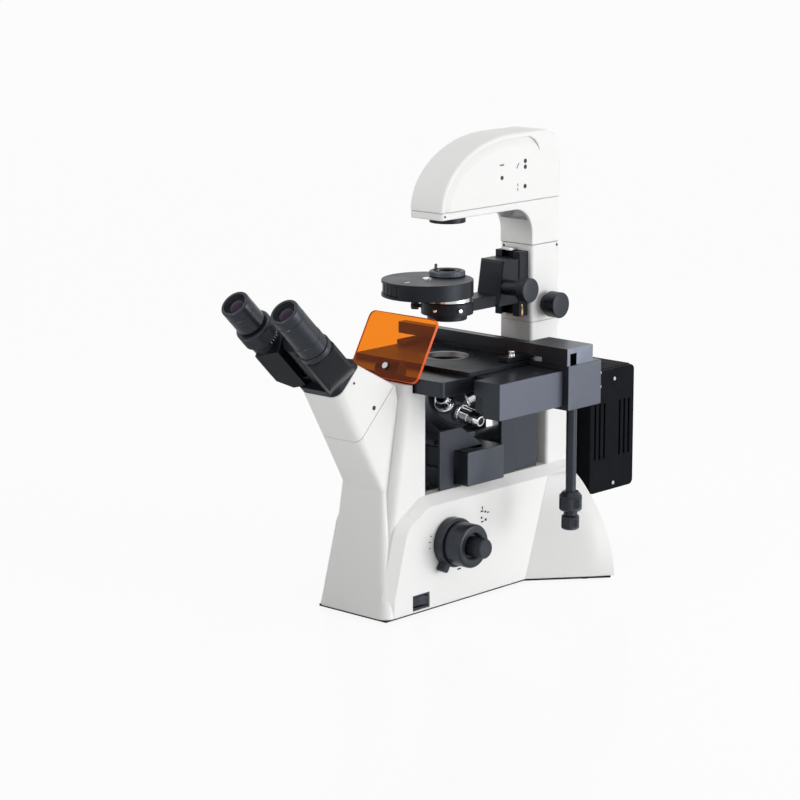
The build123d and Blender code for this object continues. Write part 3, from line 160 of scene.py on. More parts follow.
def clear(name, colour, ior, rough):
    """Clear coloured sheet that light passes through, with a slightly wavy face and an orange gloss."""
    mat, nodes, links, shader = new_finish(name)
    shader.inputs["Transmission Weight"].default_value = 1.0
    colour = np.array(colour)
    tone_between(nodes, links, shader, noise_field(nodes, links, 25.0, 1.0), colour * 0.97, colour)
    shader.inputs["IOR"].default_value = ior
    shader.inputs["Roughness"].default_value = rough
    shader.inputs["Specular Tint"].default_value = (1.0, 0.25, 0.06, 1)
    surface_bump(nodes, links, shader, noise_field(nodes, links, 60.0, 1.0), 10e-6)
    return mat


def coated_lens(name, low, high):
    """Eye lens over a dark tube: near-black glass with a violet bloom and a hard gloss."""
    mat, nodes, links, shader = new_finish(name)
    tone_between(nodes, links, shader, noise_field(nodes, links, 120.0, 1.0), low, high)
    shader.inputs["Roughness"].default_value = 0.04
    shader.inputs["Specular IOR Level"].default_value = 0.3
    shader.inputs["Specular Tint"].default_value = (0.85, 0.62, 1.0, 1)
    return mat


FINISHES = {}
BLUISH = (0.80, 0.89, 1.0)                # cool cast of the black finishes where they catch the light
SATIN = (0.34, 0.42)                      # range of roughness of the satin blacks
INK = (0.5, 0.6)                          # range of roughness of the printed marks


def make_finishes(look):
    """Every finish of the instrument, from the colours that the panel offers. A painted or plated row gives
    a name, two tones, the range of roughness, the scale and depth of the grain, and for most paints the
    gloss."""
    white = np.array(look.white_paint)
    black = np.array(look.black_paint)
    blue = np.array(look.anodised)
    blacks = {
        "black_paint": ("satin_black_paint", black * 0.7, black * 1.1, SATIN, 2200.0, 6e-6, 0.26),
        "lamp_black": ("matt_lamp_black", black * 0.35, black * 0.55, (0.62, 0.75), 1800.0, 16e-6, 0.08),
        "anodised_black": ("black_anodised_metal", blue * 0.92, blue * 1.1, SATIN, 3000.0, 8e-6, 0.55),
        "stage_black": ("polished_stage_black", blue * 0.22, blue * 0.28, (0.29, 0.33), 3000.0, 4e-6, 0.5),
        # painted light: a pale copy of the anodised black for the lit right-hand sides of the guide and the
        # carriage
        "painted_lit_side_grey": ("anodised_guide_painted_lit", blue * 1.9, blue * 2.1, SATIN, 3000.0, 6e-6, 0.55),
        "panel_grey": ("window_panel_grey", blue * 0.5, blue * 0.6, SATIN, 2400.0, 6e-6, 0.45),
        # painted light: a pale grey copy of the anodised black for the lit right-hand end of the bar
        "painted_lit_end_grey": ("anodised_end_painted_lit", blue * 3.6, blue * 4.2, (0.32, 0.40), 3000.0, 8e-6, 0.8),
        "black_plastic": ("matt_black_plastic", black * 1.5, black * 1.9, (0.26, 0.34), 1700.0, 3e-6, 0.42),
    }
    paints = {
        "rubber": ("black_rubber", black * 0.7, black * 1.2, (0.7, 0.85), 1500.0, 30e-6, 0.2),
        "acrylic_edge": (
            "sawn_acrylic_edge", (0.75, 0.07, 0.01), (0.95, 0.16, 0.02), (0.2, 0.3), 900.0, 10e-6
        ),
        "white_mark": ("white_marking_ink", (0.7, 0.7, 0.7), (0.8, 0.8, 0.8), INK, 3000.0, 4e-6),
        "black_mark": ("black_marking_ink", (0.01, 0.01, 0.01), (0.02, 0.02, 0.02), INK, 3000.0, 4e-6),
    }
    metals = {
        "steel": ("ground_steel", (0.50, 0.50, 0.52), (0.62, 0.62, 0.63), (0.28, 0.38), 900.0, 8e-6),
        "chrome": ("bright_chrome", (0.74, 0.75, 0.77), (0.82, 0.83, 0.84), (0.10, 0.18), 700.0, 4e-6),
        "brass": ("brass", (0.66, 0.48, 0.20), (0.78, 0.58, 0.28), (0.22, 0.32), 700.0, 6e-6),
        "mirror": ("silvered_mirror", (0.86, 0.86, 0.86), (0.9, 0.9, 0.9), (0.01, 0.03), 200.0, 1e-6),
    }
    FINISHES.update({key: painted(*row, tint=BLUISH) for key, row in blacks.items()})
    FINISHES.update({key: painted(*row) for key, row in paints.items()})
    FINISHES.update({key: plated(*row) for key, row in metals.items()})
    FINISHES["white_paint"] = painted(
        "satin_white_paint", white * 0.985, white, (0.36, 0.44), 2600.0, 10e-6, 0.35, edge=look.edge_round
    )
    FINISHES["orange_acrylic"] = clear("orange_acrylic", look.shield_orange, 1.49, 0.02)
    FINISHES["lens"] = coated_lens("coated_lens", (0.004, 0.003, 0.006), (0.012, 0.006, 0.014))


# Dressing of the solids

CORNER_WELD = 2e-6                        # metres within which corners of loose triangles are one point
FLAT = radians(0.1)                       # faces that differ by less are one face
CREASE = 32.0                             # degrees past which an edge is sharp


def put(obj, finish, body):
    """Links a piece into the scene, on its body and in its slot."""
    obj.data.materials.clear()
    obj.data.materials.append(FINISHES[finish])
    bpy.context.scene.collection.objects.link(obj)
    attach(obj, body)


def dress(node, finish, edge, crease=CREASE):
    """Smooth copy of a solid: its triangles are merged, and where an edge width is given its flat faces are
    joined and its sharp edges get a small round of that width."""
    source = frame["nodes"][node]
    bm = bmesh.new()
    bm.from_mesh(source.data)
    bmesh.ops.remove_doubles(bm, verts=bm.verts, dist=CORNER_WELD)
    if edge:
        bmesh.ops.dissolve_limit(bm, angle_limit=FLAT, verts=bm.verts, edges=bm.edges)
    mesh = bpy.data.meshes.new(node + "_dressed")
    bm.to_mesh(mesh)
    bm.free()
    # the corner normals of the loose triangles no longer fit the merged mesh
    stored = mesh.attributes.get("custom_normal")
    if stored:
        mesh.attributes.remove(stored)
    mesh.shade_smooth()
    mesh.set_sharp_from_angle(angle=radians(crease))
    obj = bpy.data.objects.new(node + "_dressed", mesh)
    if edge:
        bevel = obj.modifiers.new("soft_edges", "BEVEL")
        bevel.width = edge
        bevel.segments = 2
        bevel.limit_method = "ANGLE"
        bevel.angle_limit = radians(crease)
        bevel.use_clamp_overlap = False
        bevel.harden_normals = True
    else:
        even = obj.modifiers.new("even_faces", "WEIGHTED_NORMAL")
        even.mode = "FACE_AREA"
        even.weight = 100
        even.keep_sharp = True
    put(obj, finish, BODY_OF[node])
    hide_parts(node)


# Surfaces

SEAM_WELD = 1e-7                          # metres within which points at seams and poles are one


def unit(v):
    """Vector of length one."""
    v = np.asarray(v, float)
    return v / np.linalg.norm(v)


def cross_pair(axis):
    """Two unit vectors square to an axis and to one another."""
    n = unit(axis)
    side = unit(np.cross(n, Z) if abs(n[2]) < 0.9 else np.cross(n, X))
    return side, np.cross(n, side)


def grid_faces(rows, columns):
    """Quads of a grid whose columns close on themselves."""
    i, j = np.meshgrid(np.arange(rows - 1), np.arange(columns), indexing="ij")
    k = (j + 1) % columns
    quads = [i * columns + j, i * columns + k, (i + 1) * columns + k, (i + 1) * columns + j]
    return np.stack(quads, -1).reshape(-1, 4)


def lathe(profile, centre, axis, turns=96, ribs=0, depth=0.0, ribbed=(0.0, 0.0)):
    """Surface of revolution in millimetres: a profile of (radius, height) pairs carried round an axis.
    Between the two heights of ribbed the radius loses depth * (1 + cos(ribs * angle)) / 2, which gives a
    knurl."""
    profile = np.asarray(profile, float)
    side, up = cross_pair(axis)
    angle = np.linspace(0, 2 * pi, turns, endpoint=False)
    inside = (profile[:, 1] >= ribbed[0]) & (profile[:, 1] <= ribbed[1]) & (profile[:, 0] > 0)
    dip = depth * (1 + np.cos(ribs * angle)) / 2
    r = profile[:, 0][:, None] - inside[:, None] * dip[None, :]
    ring = side * np.cos(angle)[:, None] + up * np.sin(angle)[:, None]
    pts = np.asarray(centre) + MM * (r[..., None] * ring[None] + profile[:, 1][:, None, None] * unit(axis))
    return pts.reshape(-1, 3), grid_faces(len(profile), turns)


def pad(centre, u, v, size, height, power=8.0, sink=0.3, turns=32):
    """Thin raised pad in millimetres: a superellipse |a|^p + |b|^p = 1 along u and v whose wall rises along
    u x v and turns in to a flat top. A power of 2 gives a round dot, 8 a bar with small corners."""
    angle = np.linspace(0, 2 * pi, turns, endpoint=False)
    c, s = np.cos(angle), np.sin(angle)
    a = np.sign(c) * np.abs(c) ** (2 / power) * size[0] / 2
    b = np.sign(s) * np.abs(s) ** (2 / power) * size[1] / 2
    rim = a[:, None] * unit(u) + b[:, None] * unit(v)
    n = unit(np.cross(u, v))
    scale = np.array([0.0, 1.0, 1.0, 0.94, 0.0])
    rise = np.array([-sink, -sink, 0.6 * height, height, height])
    pts = np.asarray(centre) + MM * (scale[:, None, None] * rim[None] + rise[:, None, None] * n)
    return pts.reshape(-1, 3), grid_faces(len(scale), turns)


def band(path, normal, section):
    """Closed band: a section of (outward, across) pairs in millimetres carried along a closed path, where
    outward is tangent x normal and across is the normal."""
    path = np.asarray(path, float)
    tangent = np.roll(path, -1, 0) - np.roll(path, 1, 0)
    tangent /= np.linalg.norm(tangent, axis=1)[:, None]
    outward = np.cross(tangent, unit(normal))
    section = np.asarray(section, float)
    pts = path[:, None] + MM * (section[None, :, :1] * outward[:, None] + section[None, :, 1:] * unit(normal))
    loops = np.concatenate([pts, pts[:1]])
    return loops.reshape(-1, 3), grid_faces(len(loops), len(section))


def piece(name, parts, finish, body, nodes=(), smooth=35.0):
    """One object from several surfaces: points that coincide at seams and poles are merged and all faces
    turned outwards. It replaces the solids that it stands for."""
    counts = np.cumsum([0] + [len(v) for v, _ in parts])
    verts = np.concatenate([v for v, _ in parts])
    faces = np.concatenate([f + c for (_, f), c in zip(parts, counts)])
    mesh = bpy.data.meshes.new(name)
    mesh.from_pydata(verts.tolist(), [], faces.tolist())
    bm = bmesh.new()
    bm.from_mesh(mesh)
    bmesh.ops.remove_doubles(bm, verts=bm.verts, dist=SEAM_WELD)
    bmesh.ops.recalc_face_normals(bm, faces=bm.faces)
    bm.to_mesh(mesh)
    bm.free()
    mesh.shade_smooth()
    mesh.set_sharp_from_angle(angle=radians(smooth))
    obj = bpy.data.objects.new(name, mesh)
    put(obj, finish, body)
    if nodes:
        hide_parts(*nodes)


def steps(radius, low, high, count):
    """Profile rows of one radius between two heights, close enough for a knurl to show."""
    return [(radius, h) for h in np.linspace(low, high, count)]


def round_rim(radius, height, fillet, count=6):
    """Profile rows of a quarter round that turns from the wall at a radius in to a face at a height."""
    t = np.linspace(0, pi / 2, count)
    return list(zip(radius - fillet + fillet * np.cos(t), height - fillet + fillet * np.sin(t)))


def ring_of(rows):
    """Profile closed on itself, for a piece with a hole."""
    return [*rows, rows[0]]


def screw(centre, axis, radius, height):
    """Socket-head screw: a chamfered head with a round socket in its face."""
    sunk = -0.3
    rows = [(0, sunk), (radius, sunk), (radius, 0.75 * height), (0.85 * radius, height)]
    rows += [(0.5 * radius, height), (0.5 * radius, 0.45 * height), (0, 0.4 * height)]
    return lathe(rows, centre, axis, 32)


def wing_flare(hand, rows=29):
    """Bell-shaped rear wing: plan sections stacked from the foot to the sill. Each runs from the crease on
    the cheek out to a rounded bend and back to the rear edge, and its reach falls with height t as
    (1 - t^1.6)^0.75."""
    inside, cheek, rear_y = 46.0, 50.1, 148.45    # hidden root, face of the cheek and rear edge
    front_y, climb = 71.8, 36.6                   # the crease starts at front_y and moves back by climb
    bend_reach, bulge, rear_reach = 46.0, 6.0, 60.8
    share, depth = 0.268, 76.5                    # how far the bend is ahead of the rear edge
    foot_z, height = 4.0, 108.0
    t = np.linspace(0, 1, rows)[:, None]
    still = 0 * t
    reach = (1 - t**1.6) ** 0.75
    crease = np.stack([cheek + still, front_y + climb * t], -1)
    bend_x = cheek + (bend_reach + bulge * np.sin(pi * t)) * reach
    bend = np.stack([bend_x, rear_y - share * (depth - climb * t)], -1)
    rear = np.stack([cheek + rear_reach * reach, rear_y + still], -1)
    # the bend is a parabola between a point on each of its two sides
    start, end = crease + 0.82 * (bend - crease), bend + 0.4 * (rear - bend)
    a = np.linspace(0, 1, 9)[None, :, None]
    turn = (1 - a) ** 2 * start + 2 * a * (1 - a) * bend + a**2 * end
    front_root = np.stack([inside + still, front_y + 1.2 + climb * t], -1)
    rear_root = np.stack([inside + still, rear_y + still], -1)
    plan = np.concatenate([front_root, crease, turn, rear, rear_root], 1)
    # both ends close on the middle of their section
    foot, sill = (0 * cut + cut.mean(1, keepdims=True) for cut in (plan[:1], plan[-1:]))
    plan = np.concatenate([foot, plan, sill])
    level = foot_z + height * np.concatenate([t[:1], t, t[-1:]])
    pts = AXIS + MM * np.stack([hand * plan[..., 0], plan[..., 1], level + 0 * plan[..., 0]], -1)
    return pts.reshape(-1, 3), grid_faces(rows + 2, plan.shape[1])


def ocular_foot(x):
    """Foot of an eyepiece axis, level with the joint of the head and x to the right of the middle."""
    y = -JOINT_REACH * cos(SLANT) - TUBE_DROP * sin(SLANT)
    return at(x, y, MIRROR_Z + JOINT_REACH * sin(SLANT) - TUBE_DROP * cos(SLANT))


# Settings


class MicroscopeLook(bpy.types.PropertyGroup):
    """Colours and light levels of the scene."""

    white_paint: bpy.props.FloatVectorProperty(
        name="White paint",
        description="Satin paint of the castings",
        subtype="COLOR",
        default=(0.84, 0.84, 0.83),
    )
    black_paint: bpy.props.FloatVectorProperty(
        name="Black paint",
        description="Satin black of the fittings",
        subtype="COLOR",
        default=(0.010, 0.011, 0.014),
    )
    anodised: bpy.props.FloatVectorProperty(
        name="Anodised metal",
        description="Black of the stage parts",
        subtype="COLOR",
        default=(0.046, 0.051, 0.066),
    )
    shield_orange: bpy.props.FloatVectorProperty(
        name="Shield", description="Clear orange sheet", subtype="COLOR", default=(0.93, 0.235, 0.006)
    )
    edge_round: bpy.props.FloatProperty(
        name="Edge round",
        description="Radius at which the edges of the white castings catch the light",
        default=0.0012,
        unit="LENGTH",
    )
    key_power: bpy.props.FloatProperty(
        name="Key light", description="Power of the side softbox, which the other lamps follow", default=39.5
    )
    world_level: bpy.props.FloatProperty(
        name="Surround", description="Level of the even surround", default=0.50
    )


class MicroscopeOperator:
    """Options that the operators share."""

    bl_options = {"REGISTER", "UNDO"}


class MICROSCOPE_OT_finishes(MicroscopeOperator, bpy.types.Operator):
    """Makes every paint, metal and glass"""

    bl_idname = "microscope.finishes"
    bl_label = "Finishes"

    def execute(self, context):
        make_finishes(context.scene.microscope_look)
        return {"FINISHED"}


# width of the soft edges in metres, none where the rounds of close edges would run into one another
CASTING_EDGE = {
    "base_housing": 0.0,
    "arm_cover": 0.0,
    "column": 0.0,
    "nose_cover": 0.0003,
    "arm_lower": 0.0012,
}
CASTING_CREASE = {"base_housing": 25.0, "arm_cover": 15.0}
FITTING_EDGE = {"tension_ring": 0.0012, "nosepiece": 0.0, "nosepiece_carrier": 0.0}
PLAIN_EDGE = 0.0004
# nodes that a turned piece replaces
TURNED = {
    "coarse_knobs", "fine_knobs", "y_shaft", "x_shaft", "clamp_knob", "condenser_knob", "objective_10x",
    "objective_4x", "objective_20x", "objective_40x", "right_eyepiece", "left_eyepiece", "dioptre_ring",
    "iris_ring",
}
# finish of each node that does not take the plain one of its slot
NODE_FINISH = {
    "lamp_house": "lamp_black",
    "lamp_house_covers": "lamp_black",
    "stage_frame": "stage_black",
    "stage_insert": "stage_black",
    "x_bar": "stage_black",
    "x_slider": "stage_black",
    "y_guide": "stage_black",
    "y_carriage": "stage_black",
    "filter_drawer": "stage_black",
    "window_panels": "panel_grey",
    "shield_screw": "steel",
}


class MICROSCOPE_OT_castings(MicroscopeOperator, bpy.types.Operator):
    """Dresses the white castings and adds their rear wing flares and shoulder covers"""

    bl_idname = "microscope.castings"
    bl_label = "White castings"

    def execute(self, context):
        for node, edge in CASTING_EDGE.items():
            dress(node, "white_paint", edge, CASTING_CREASE.get(node, CREASE))
        piece("wing_flares", [wing_flare(hand) for hand in (1, -1)], "white_paint", "stand", smooth=50.0)
        # thin covers on the shoulder bevels, where the hollow of the casting breaks through
        along = unit(np.array([0, 38.0, 22.0]))
        fillers = []
        for hand in (1, -1):
            across = unit(np.array([-hand, -0.501, 0.866]))
            place = at(hand * 45.0, -100.0, 108.1)
            fillers.append(pad(place, hand * along, across, (15.0, 9.0), 0.02, power=6.0, sink=0.2, turns=48))
        piece("shoulder_fillers", fillers, "white_paint", "stand")
        return {"FINISHED"}


class MICROSCOPE_OT_fittings(MicroscopeOperator, bpy.types.Operator):
    """Dresses every other solid that no turned piece replaces"""

    bl_idname = "microscope.fittings"
    bl_label = "Fittings"

    def execute(self, context):
        for node in sorted(set(frame["nodes"]) - TURNED - set(CASTING_EDGE)):
            dress(node, NODE_FINISH.get(node, SLOT_OF[node]), FITTING_EDGE.get(node, PLAIN_EDGE))
        return {"FINISHED"}


class MICROSCOPE_OT_focus_knobs(MicroscopeOperator, bpy.types.Operator):
    """Turns the coarse and fine focus knobs on both sides"""

    bl_idname = "microscope.focus_knobs"
    bl_label = "Focus knobs"

    def execute(self, context):
        shaft = at(0, FOCUS_Y, FOCUS_Z)
        grip = (64.0, 80.0)
        rows = [(4.6, 62.3), (22.0, 62.3), (22.8, 63.1), *steps(23.0, *grip, 9), *round_rim(23.0, 84.0, 2.6)]
        rows += [(15.0, 84.0), (13.7, 82.8), (13.7, 78.0), (4.6, 78.0)]
        knurl = dict(turns=240, ribs=120, depth=0.14, ribbed=grip)
        parts = [lathe(ring_of(rows), shaft, out, **knurl) for out in (X, -X)]
        piece("coarse_focus_knobs", parts, "black_plastic", "coarse_drive", ["coarse_knobs"])
        grip = (80.0, 97.0)
        rows = [(2.6, 78.6), (8.9, 78.6), (9.6, 79.2), *steps(10.5, *grip, 9), (10.5, 98.4), (9.2, 100.0)]
        rows += [(0, 100.0), (0, 99.4), (2.6, 99.4)]
        knurl = dict(turns=180, ribs=30, depth=0.5, ribbed=grip)
        parts = [lathe(ring_of(rows), shaft, out, **knurl) for out in (X, -X)]
        piece("fine_focus_knobs", parts, "black_plastic", "fine_drive", ["fine_knobs"])
        return {"FINISHED"}


class MICROSCOPE_OT_stage_knobs(MicroscopeOperator, bpy.types.Operator):
    """Turns the two knobs that hang from the mechanical stage"""

    bl_idname = "microscope.stage_knobs"
    bl_label = "Stage knobs"

    def execute(self, context):
        foot = at(124.0, 56.0, 0.0)
        grip = (98.0, 111.0)
        rows = [(2.6, 96.0), (10.6, 96.0), (11.9, 97.4), *steps(11.9, *grip, 6), (11.9, 112.0), (8.2, 116.6)]
        rows += [(5.5, 117.0), (5.5, 205.9), (4.0, 205.9), (4.0, 209.4), (2.6, 209.4)]
        part = lathe(ring_of(rows), foot, Z, turns=192, ribs=48, depth=0.45, ribbed=grip)
        piece("upper_stage_grip", [part], "black_plastic", "upper_stage_knob", ["y_shaft"])
        grip = (78.0, 88.0)
        rows = [(0, 76.0), (8.2, 76.0), (9.4, 77.2), *steps(9.4, *grip, 6), (9.4, 89.6), (8.0, 91.0)]
        rows += [(7.4, 91.2), (7.4, 95.7), (2.5, 95.7), (2.5, 209.5), (0, 209.5)]
        part = lathe(rows, foot, Z, turns=160, ribs=40, depth=0.4, ribbed=grip)
        piece("lower_stage_grip", [part], "black_plastic", "lower_stage_knob", ["x_shaft"])
        return {"FINISHED"}


class MICROSCOPE_OT_pillar_knobs(MicroscopeOperator, bpy.types.Operator):
    """Turns the tilt clamp and the condenser focus knob"""

    bl_idname = "microscope.pillar_knobs"
    bl_label = "Pillar knobs"

    def execute(self, context):
        grip = (31.0, 42.0)
        rows = [(0, 0.2), (4.0, 0.2), (4.0, 22.8), (9.0, 22.8), (9.0, 27.8), (12.5, 27.8), (12.5, 29.8)]
        rows += [(13.4, 29.8), (14.0, 30.4), *steps(14.0, *grip, 6), *round_rim(14.0, 44.8, 1.4), (0, 44.8)]
        part = lathe(rows, at(0, 134.0, 294.0), X, turns=192, ribs=64, depth=0.2, ribbed=grip)
        piece("tilt_clamp_knob", [part], "black_plastic", "tilt_clamp", ["clamp_knob"])
        grip = (41.0, 48.0)
        rows = [(0, -15.9), (4.0, -15.9), (4.0, 16.3), (8.2, 16.3), (8.2, 37.8), (11.7, 37.8), (11.7, 39.8)]
        rows += [(12.6, 39.8), (13.2, 40.4), *steps(13.2, *grip, 5), *round_rim(13.2, 50.8, 1.3), (0, 50.8)]
        part = lathe(rows, at(0, 76.0, 318.0), X, turns=192, ribs=64, depth=0.2, ribbed=grip)
        piece("condenser_focus_knob", [part], "black_plastic", "condenser_drive", ["condenser_knob"])
        return {"FINISHED"}


class MICROSCOPE_OT_objectives(MicroscopeOperator, bpy.types.Operator):
    """Turns the four objectives with their knurled collars"""

    bl_idname = "microscope.objectives"
    bl_label = "Objectives"

    def execute(self, context):
        apex = at(0, 0, 197.0)    # where the four axes and the turret axis meet
        tilt = np.array([sin(CONE), 0, cos(CONE)])
        down = np.array([cos(CONE), 0, -sin(CONE)])
        seat, bore, collar, barrel = 20.0, 4.05, 10.4, 9.0
        grip = (20.8, 22.6)
        # turn round the turret in degrees and length of each barrel
        sizes = {
            "objective_10x": (180, 27.0),
            "objective_4x": (270, 22.0),
            "objective_20x": (0, 28.5),
            "objective_40x": (90, 29.0),
        }
        for node, (turn, length) in sizes.items():
            across = down * cos(radians(turn)) + Y * sin(radians(turn))
            axis = across * sin(CONE) + tilt * cos(CONE)
            top = seat + length
            rows = [(bore, seat), (9.9, seat), (collar, 20.5), *steps(collar, *grip, 3), (9.9, 23.0)]
            rows += [(barrel, 23.2), (barrel, top - 14.0), (8.5, top - 13.6), (8.5, top - 12.6)]
            rows += [(barrel, top - 12.2), (barrel, top - 9.0), (6.6, top - 1.8)]
            rows += [*round_rim(6.0, top, 0.8, 4), (bore, top)]
            part = lathe(ring_of(rows), apex, axis, turns=144, ribs=48, depth=0.35, ribbed=grip)
            piece(node + "_barrel", [part], "chrome", "turret", [node])
        return {"FINISHED"}


class MICROSCOPE_OT_eyepieces(MicroscopeOperator, bpy.types.Operator):
    """Turns the eyepieces with their soft rims, eye lenses and dioptre ring"""

    bl_idname = "microscope.eyepieces"
    bl_label = "Eyepieces"

    def execute(self, context):
        lens_z = 124.0
        cup = [(15.5, 116.8), (14.9, 117.2), (14.9, 118.0), (15.5, 118.4), *round_rim(15.5, 129.0, 1.6)]
        cup += [(13.0, 129.0), (12.2, 128.6), (10.8, 124.6), (10.5, lens_z), (0, lens_z)]
        dome = np.linspace(0, pi / 2, 12)
        glass = np.stack([9.4 * np.sin(dome), lens_z + 2.8 * np.cos(dome)], 1)
        right, left = ocular_foot(EYE_HALF), ocular_foot(-EYE_HALF)
        rows = [(0, 66.1), (17.5, 66.1), *round_rim(17.5, 72.0, 1.0), (16.0, 72.0), (16.0, 85.6)]
        rows += [(15.5, 86.0), *cup]
        part = lathe(rows, right, TUBE_AXIS)
        piece("right_ocular_tube", [part], "black_plastic", "right_tube", ["right_eyepiece"])
        rows = [(0, 78.0), (12.95, 78.0), (12.95, 98.0), (15.0, 98.0), (15.5, 98.5), *cup]
        part = lathe(rows, left, TUBE_AXIS)
        piece("left_ocular_tube", [part], "black_plastic", "left_ocular", ["left_eyepiece"])
        grip = (78.2, 92.0)
        rows = [(13.05, 77.0), (18.2, 77.0), (19.0, 77.8), *steps(19.0, *grip, 6), (18.9, 93.6), (17.6, 95.0)]
        rows += [(13.05, 95.0)]
        part = lathe(ring_of(rows), left, TUBE_AXIS, turns=240, ribs=60, depth=0.5, ribbed=grip)
        piece("dioptre_grip", [part], "black_plastic", "dioptre", ["dioptre_ring"])
        piece("right_eye_lens", [lathe(glass, right, TUBE_AXIS)], "lens", "right_tube")
        piece("left_eye_lens", [lathe(glass, left, TUBE_AXIS)], "lens", "left_ocular")
        # dioptre scale on the tube below the ring: ticks round its left side, the middle one longer
        side, up = cross_pair(TUBE_AXIS)
        ticks = []
        for k in range(-3, 4):
            turn = radians(200 + 12 * k)
            out = side * cos(turn) + up * sin(turn)
            place = left + MM * (74.4 * TUBE_AXIS + 16.0 * out)
            ticks.append(pad(place, np.cross(TUBE_AXIS, out), TUBE_AXIS, (0.6, 3.4 if k else 4.6), 0.1))
        piece("dioptre_scale", ticks, "white_mark", "left_tube")
        return {"FINISHED"}


class MICROSCOPE_OT_condenser_trim(MicroscopeOperator, bpy.types.Operator):
    """Adds the iris ring, bright collar, screws and slide fittings of the condenser"""

    bl_idname = "microscope.condenser_trim"
    bl_label = "Condenser trim"

    def execute(self, context):
        foot = at(0, 0, 0)
        grip = (339.3, 342.0)
        rows = [(12.05, 338.3), (18.4, 338.3), (19.0, 338.9), *steps(19.0, *grip, 3), (18.6, 343.0)]
        rows += [(17.6, 343.5), (15.4, 343.5), (14.6, 342.6), (12.05, 339.2)]
        iris = lathe(ring_of(rows), foot, Z, turns=216, ribs=72, depth=0.3, ribbed=grip)
        rows = [(0, 343.0), (1.6, 343.0), (1.6, 347.6), (1.1, 348.5), (0, 348.5)]
        pin = lathe(rows, at(-16.0, 0, 0), Z, 24)
        piece("iris_grip", [iris, pin], "anodised_black", "iris", ["iris_ring"])
        rows = [(24.8, 311.4), (25.5, 311.4), (25.9, 311.8), *steps(25.9, 312.4, 319.6, 3), (25.5, 320.6)]
        rows += [(24.8, 320.6)]
        piece("bright_collar", [lathe(ring_of(rows), foot, Z)], "chrome", "condenser")
        holder = at(0, 0, 304.5)
        screws = []
        for turn in (-75, -20, 200):
            out = X * cos(radians(turn)) + Y * sin(radians(turn))
            screws.append(screw(holder + MM * 27.5 * out, out, 2.3, 2.6))
        piece("holder_screws", screws, "chrome", "condenser")
        grip = (4.2, 10.6)
        rows = [(0, -0.4), (2.2, -0.4), (2.2, 4.0), *steps(4.4, *grip, 4), (3.8, 11.4), (0, 11.4)]
        out = unit(np.array([-0.9, -0.43, 0]))
        part = lathe(rows, holder + MM * 27.4 * out, out, turns=96, ribs=24, depth=0.35, ribbed=grip)
        piece("holder_thumb_screw", [part], "black_plastic", "condenser")
        mark = pad(at(0, -62.0, 338.0), X, Y, (3.0, 8.0), 0.12)
        piece("disc_mark", [mark], "white_mark", "condenser")
        rows = [(0, 337.8), (5.2, 337.8), (5.2, 338.6), (4.4, 339.3), (0, 339.4)]
        piece("disc_hub_cap", [lathe(rows, at(0, -31.0, 0), Z, 48)], "chrome", "condenser")
        block = pad(at(-5.0, 104.5, 353.0), X, Y, (15.0, 8.0), 2.6)
        piece("rail_top_stop", [block], "steel", "lamp_pillar")
        strip = pad(at(17.0, 101.5, 290.0), Y, Z, (2.6, 12.0), 0.5)
        piece("rail_gib", [strip], "brass", "lamp_pillar")
        return {"FINISHED"}


class MICROSCOPE_OT_stage_trim(MicroscopeOperator, bpy.types.Operator):
    """Adds the liner, line and screws of the stage, and pale plates that paint light on the lit right sides
    of the stage and the filter drawer
    """

    bl_idname = "microscope.stage_trim"
    bl_label = "Stage trim"

    def execute(self, context):
        rows = [(22.3, 247.2), (22.95, 247.2), (22.95, 252.7), (22.7, 253.0), (22.3, 252.8)]
        piece("insert_liner", [lathe(ring_of(rows), at(0, 0, 0), Z)], "steel", "stand")
        # pale end plate of the bar, painted light on its lit right-hand end, in three pieces which leave the
        # notch between them open
        ends = [((37.75, 262.4), (4.5, 18.2)), ((45.5, 268.65), (12.0, 5.7)), ((63.75, 262.4), (26.5, 18.2))]
        parts = [pad(at(134.0, y, z), Y, Z, size, 0.35, power=24.0, turns=64) for (y, z), size in ends]
        piece("bar_painted_lit_end", parts, "painted_lit_end_grey", "cross_stage")
        # thin pale plates on the lit right-hand sides of the guide, the carriage and the filter drawer:
        # painted light
        part = pad(at(126.0, 19.0, 228.85), Y, Z, (161.4, 37.2), 0.08, power=60.0, turns=96)
        piece("guide_painted_lit_side", [part], "painted_lit_side_grey", "stand")
        part = pad(at(134.0, 64.5, 229.75), Y, Z, (53.2, 46.3), 0.3, power=40.0, turns=96)
        piece("carriage_painted_lit_side", [part], "painted_lit_side_grey", "cross_stage")
        # painted light: the lighter anodised black laid on the lit right-hand side of the darker drawer
        part = pad(at(55.0, 0.0, 142.75), Y, Z, (57.2, 35.7), 0.3, power=40.0, turns=96)
        piece("drawer_painted_lit_side", [part], "anodised_black", "filter_slide")
        line = pad(at(-13.0, 43.4, 271.5), X, Y, (174.0, 0.9), 0.06, power=24.0)
        piece("bar_line", [line], "black_mark", "cross_stage")
        grip = (258.6, 262.6)
        rows = [(0, 258.3), (3.3, 258.3), *steps(3.3, *grip, 3), *round_rim(3.3, 264.0, 0.8, 4), (0, 264.0)]
        part = lathe(rows, at(71.0, 21.5, 0), Z, turns=96, ribs=24, depth=0.3, ribbed=grip)
        piece("holder_screw", [part], "chrome", "specimen_slide")
        tails = [screw(at(130.0, 91.5, z), Y, 2.4, 3.4) for z in (223.0, 238.0)]
        piece("carriage_screws", tails, "chrome", "cross_stage")
        return {"FINISHED"}


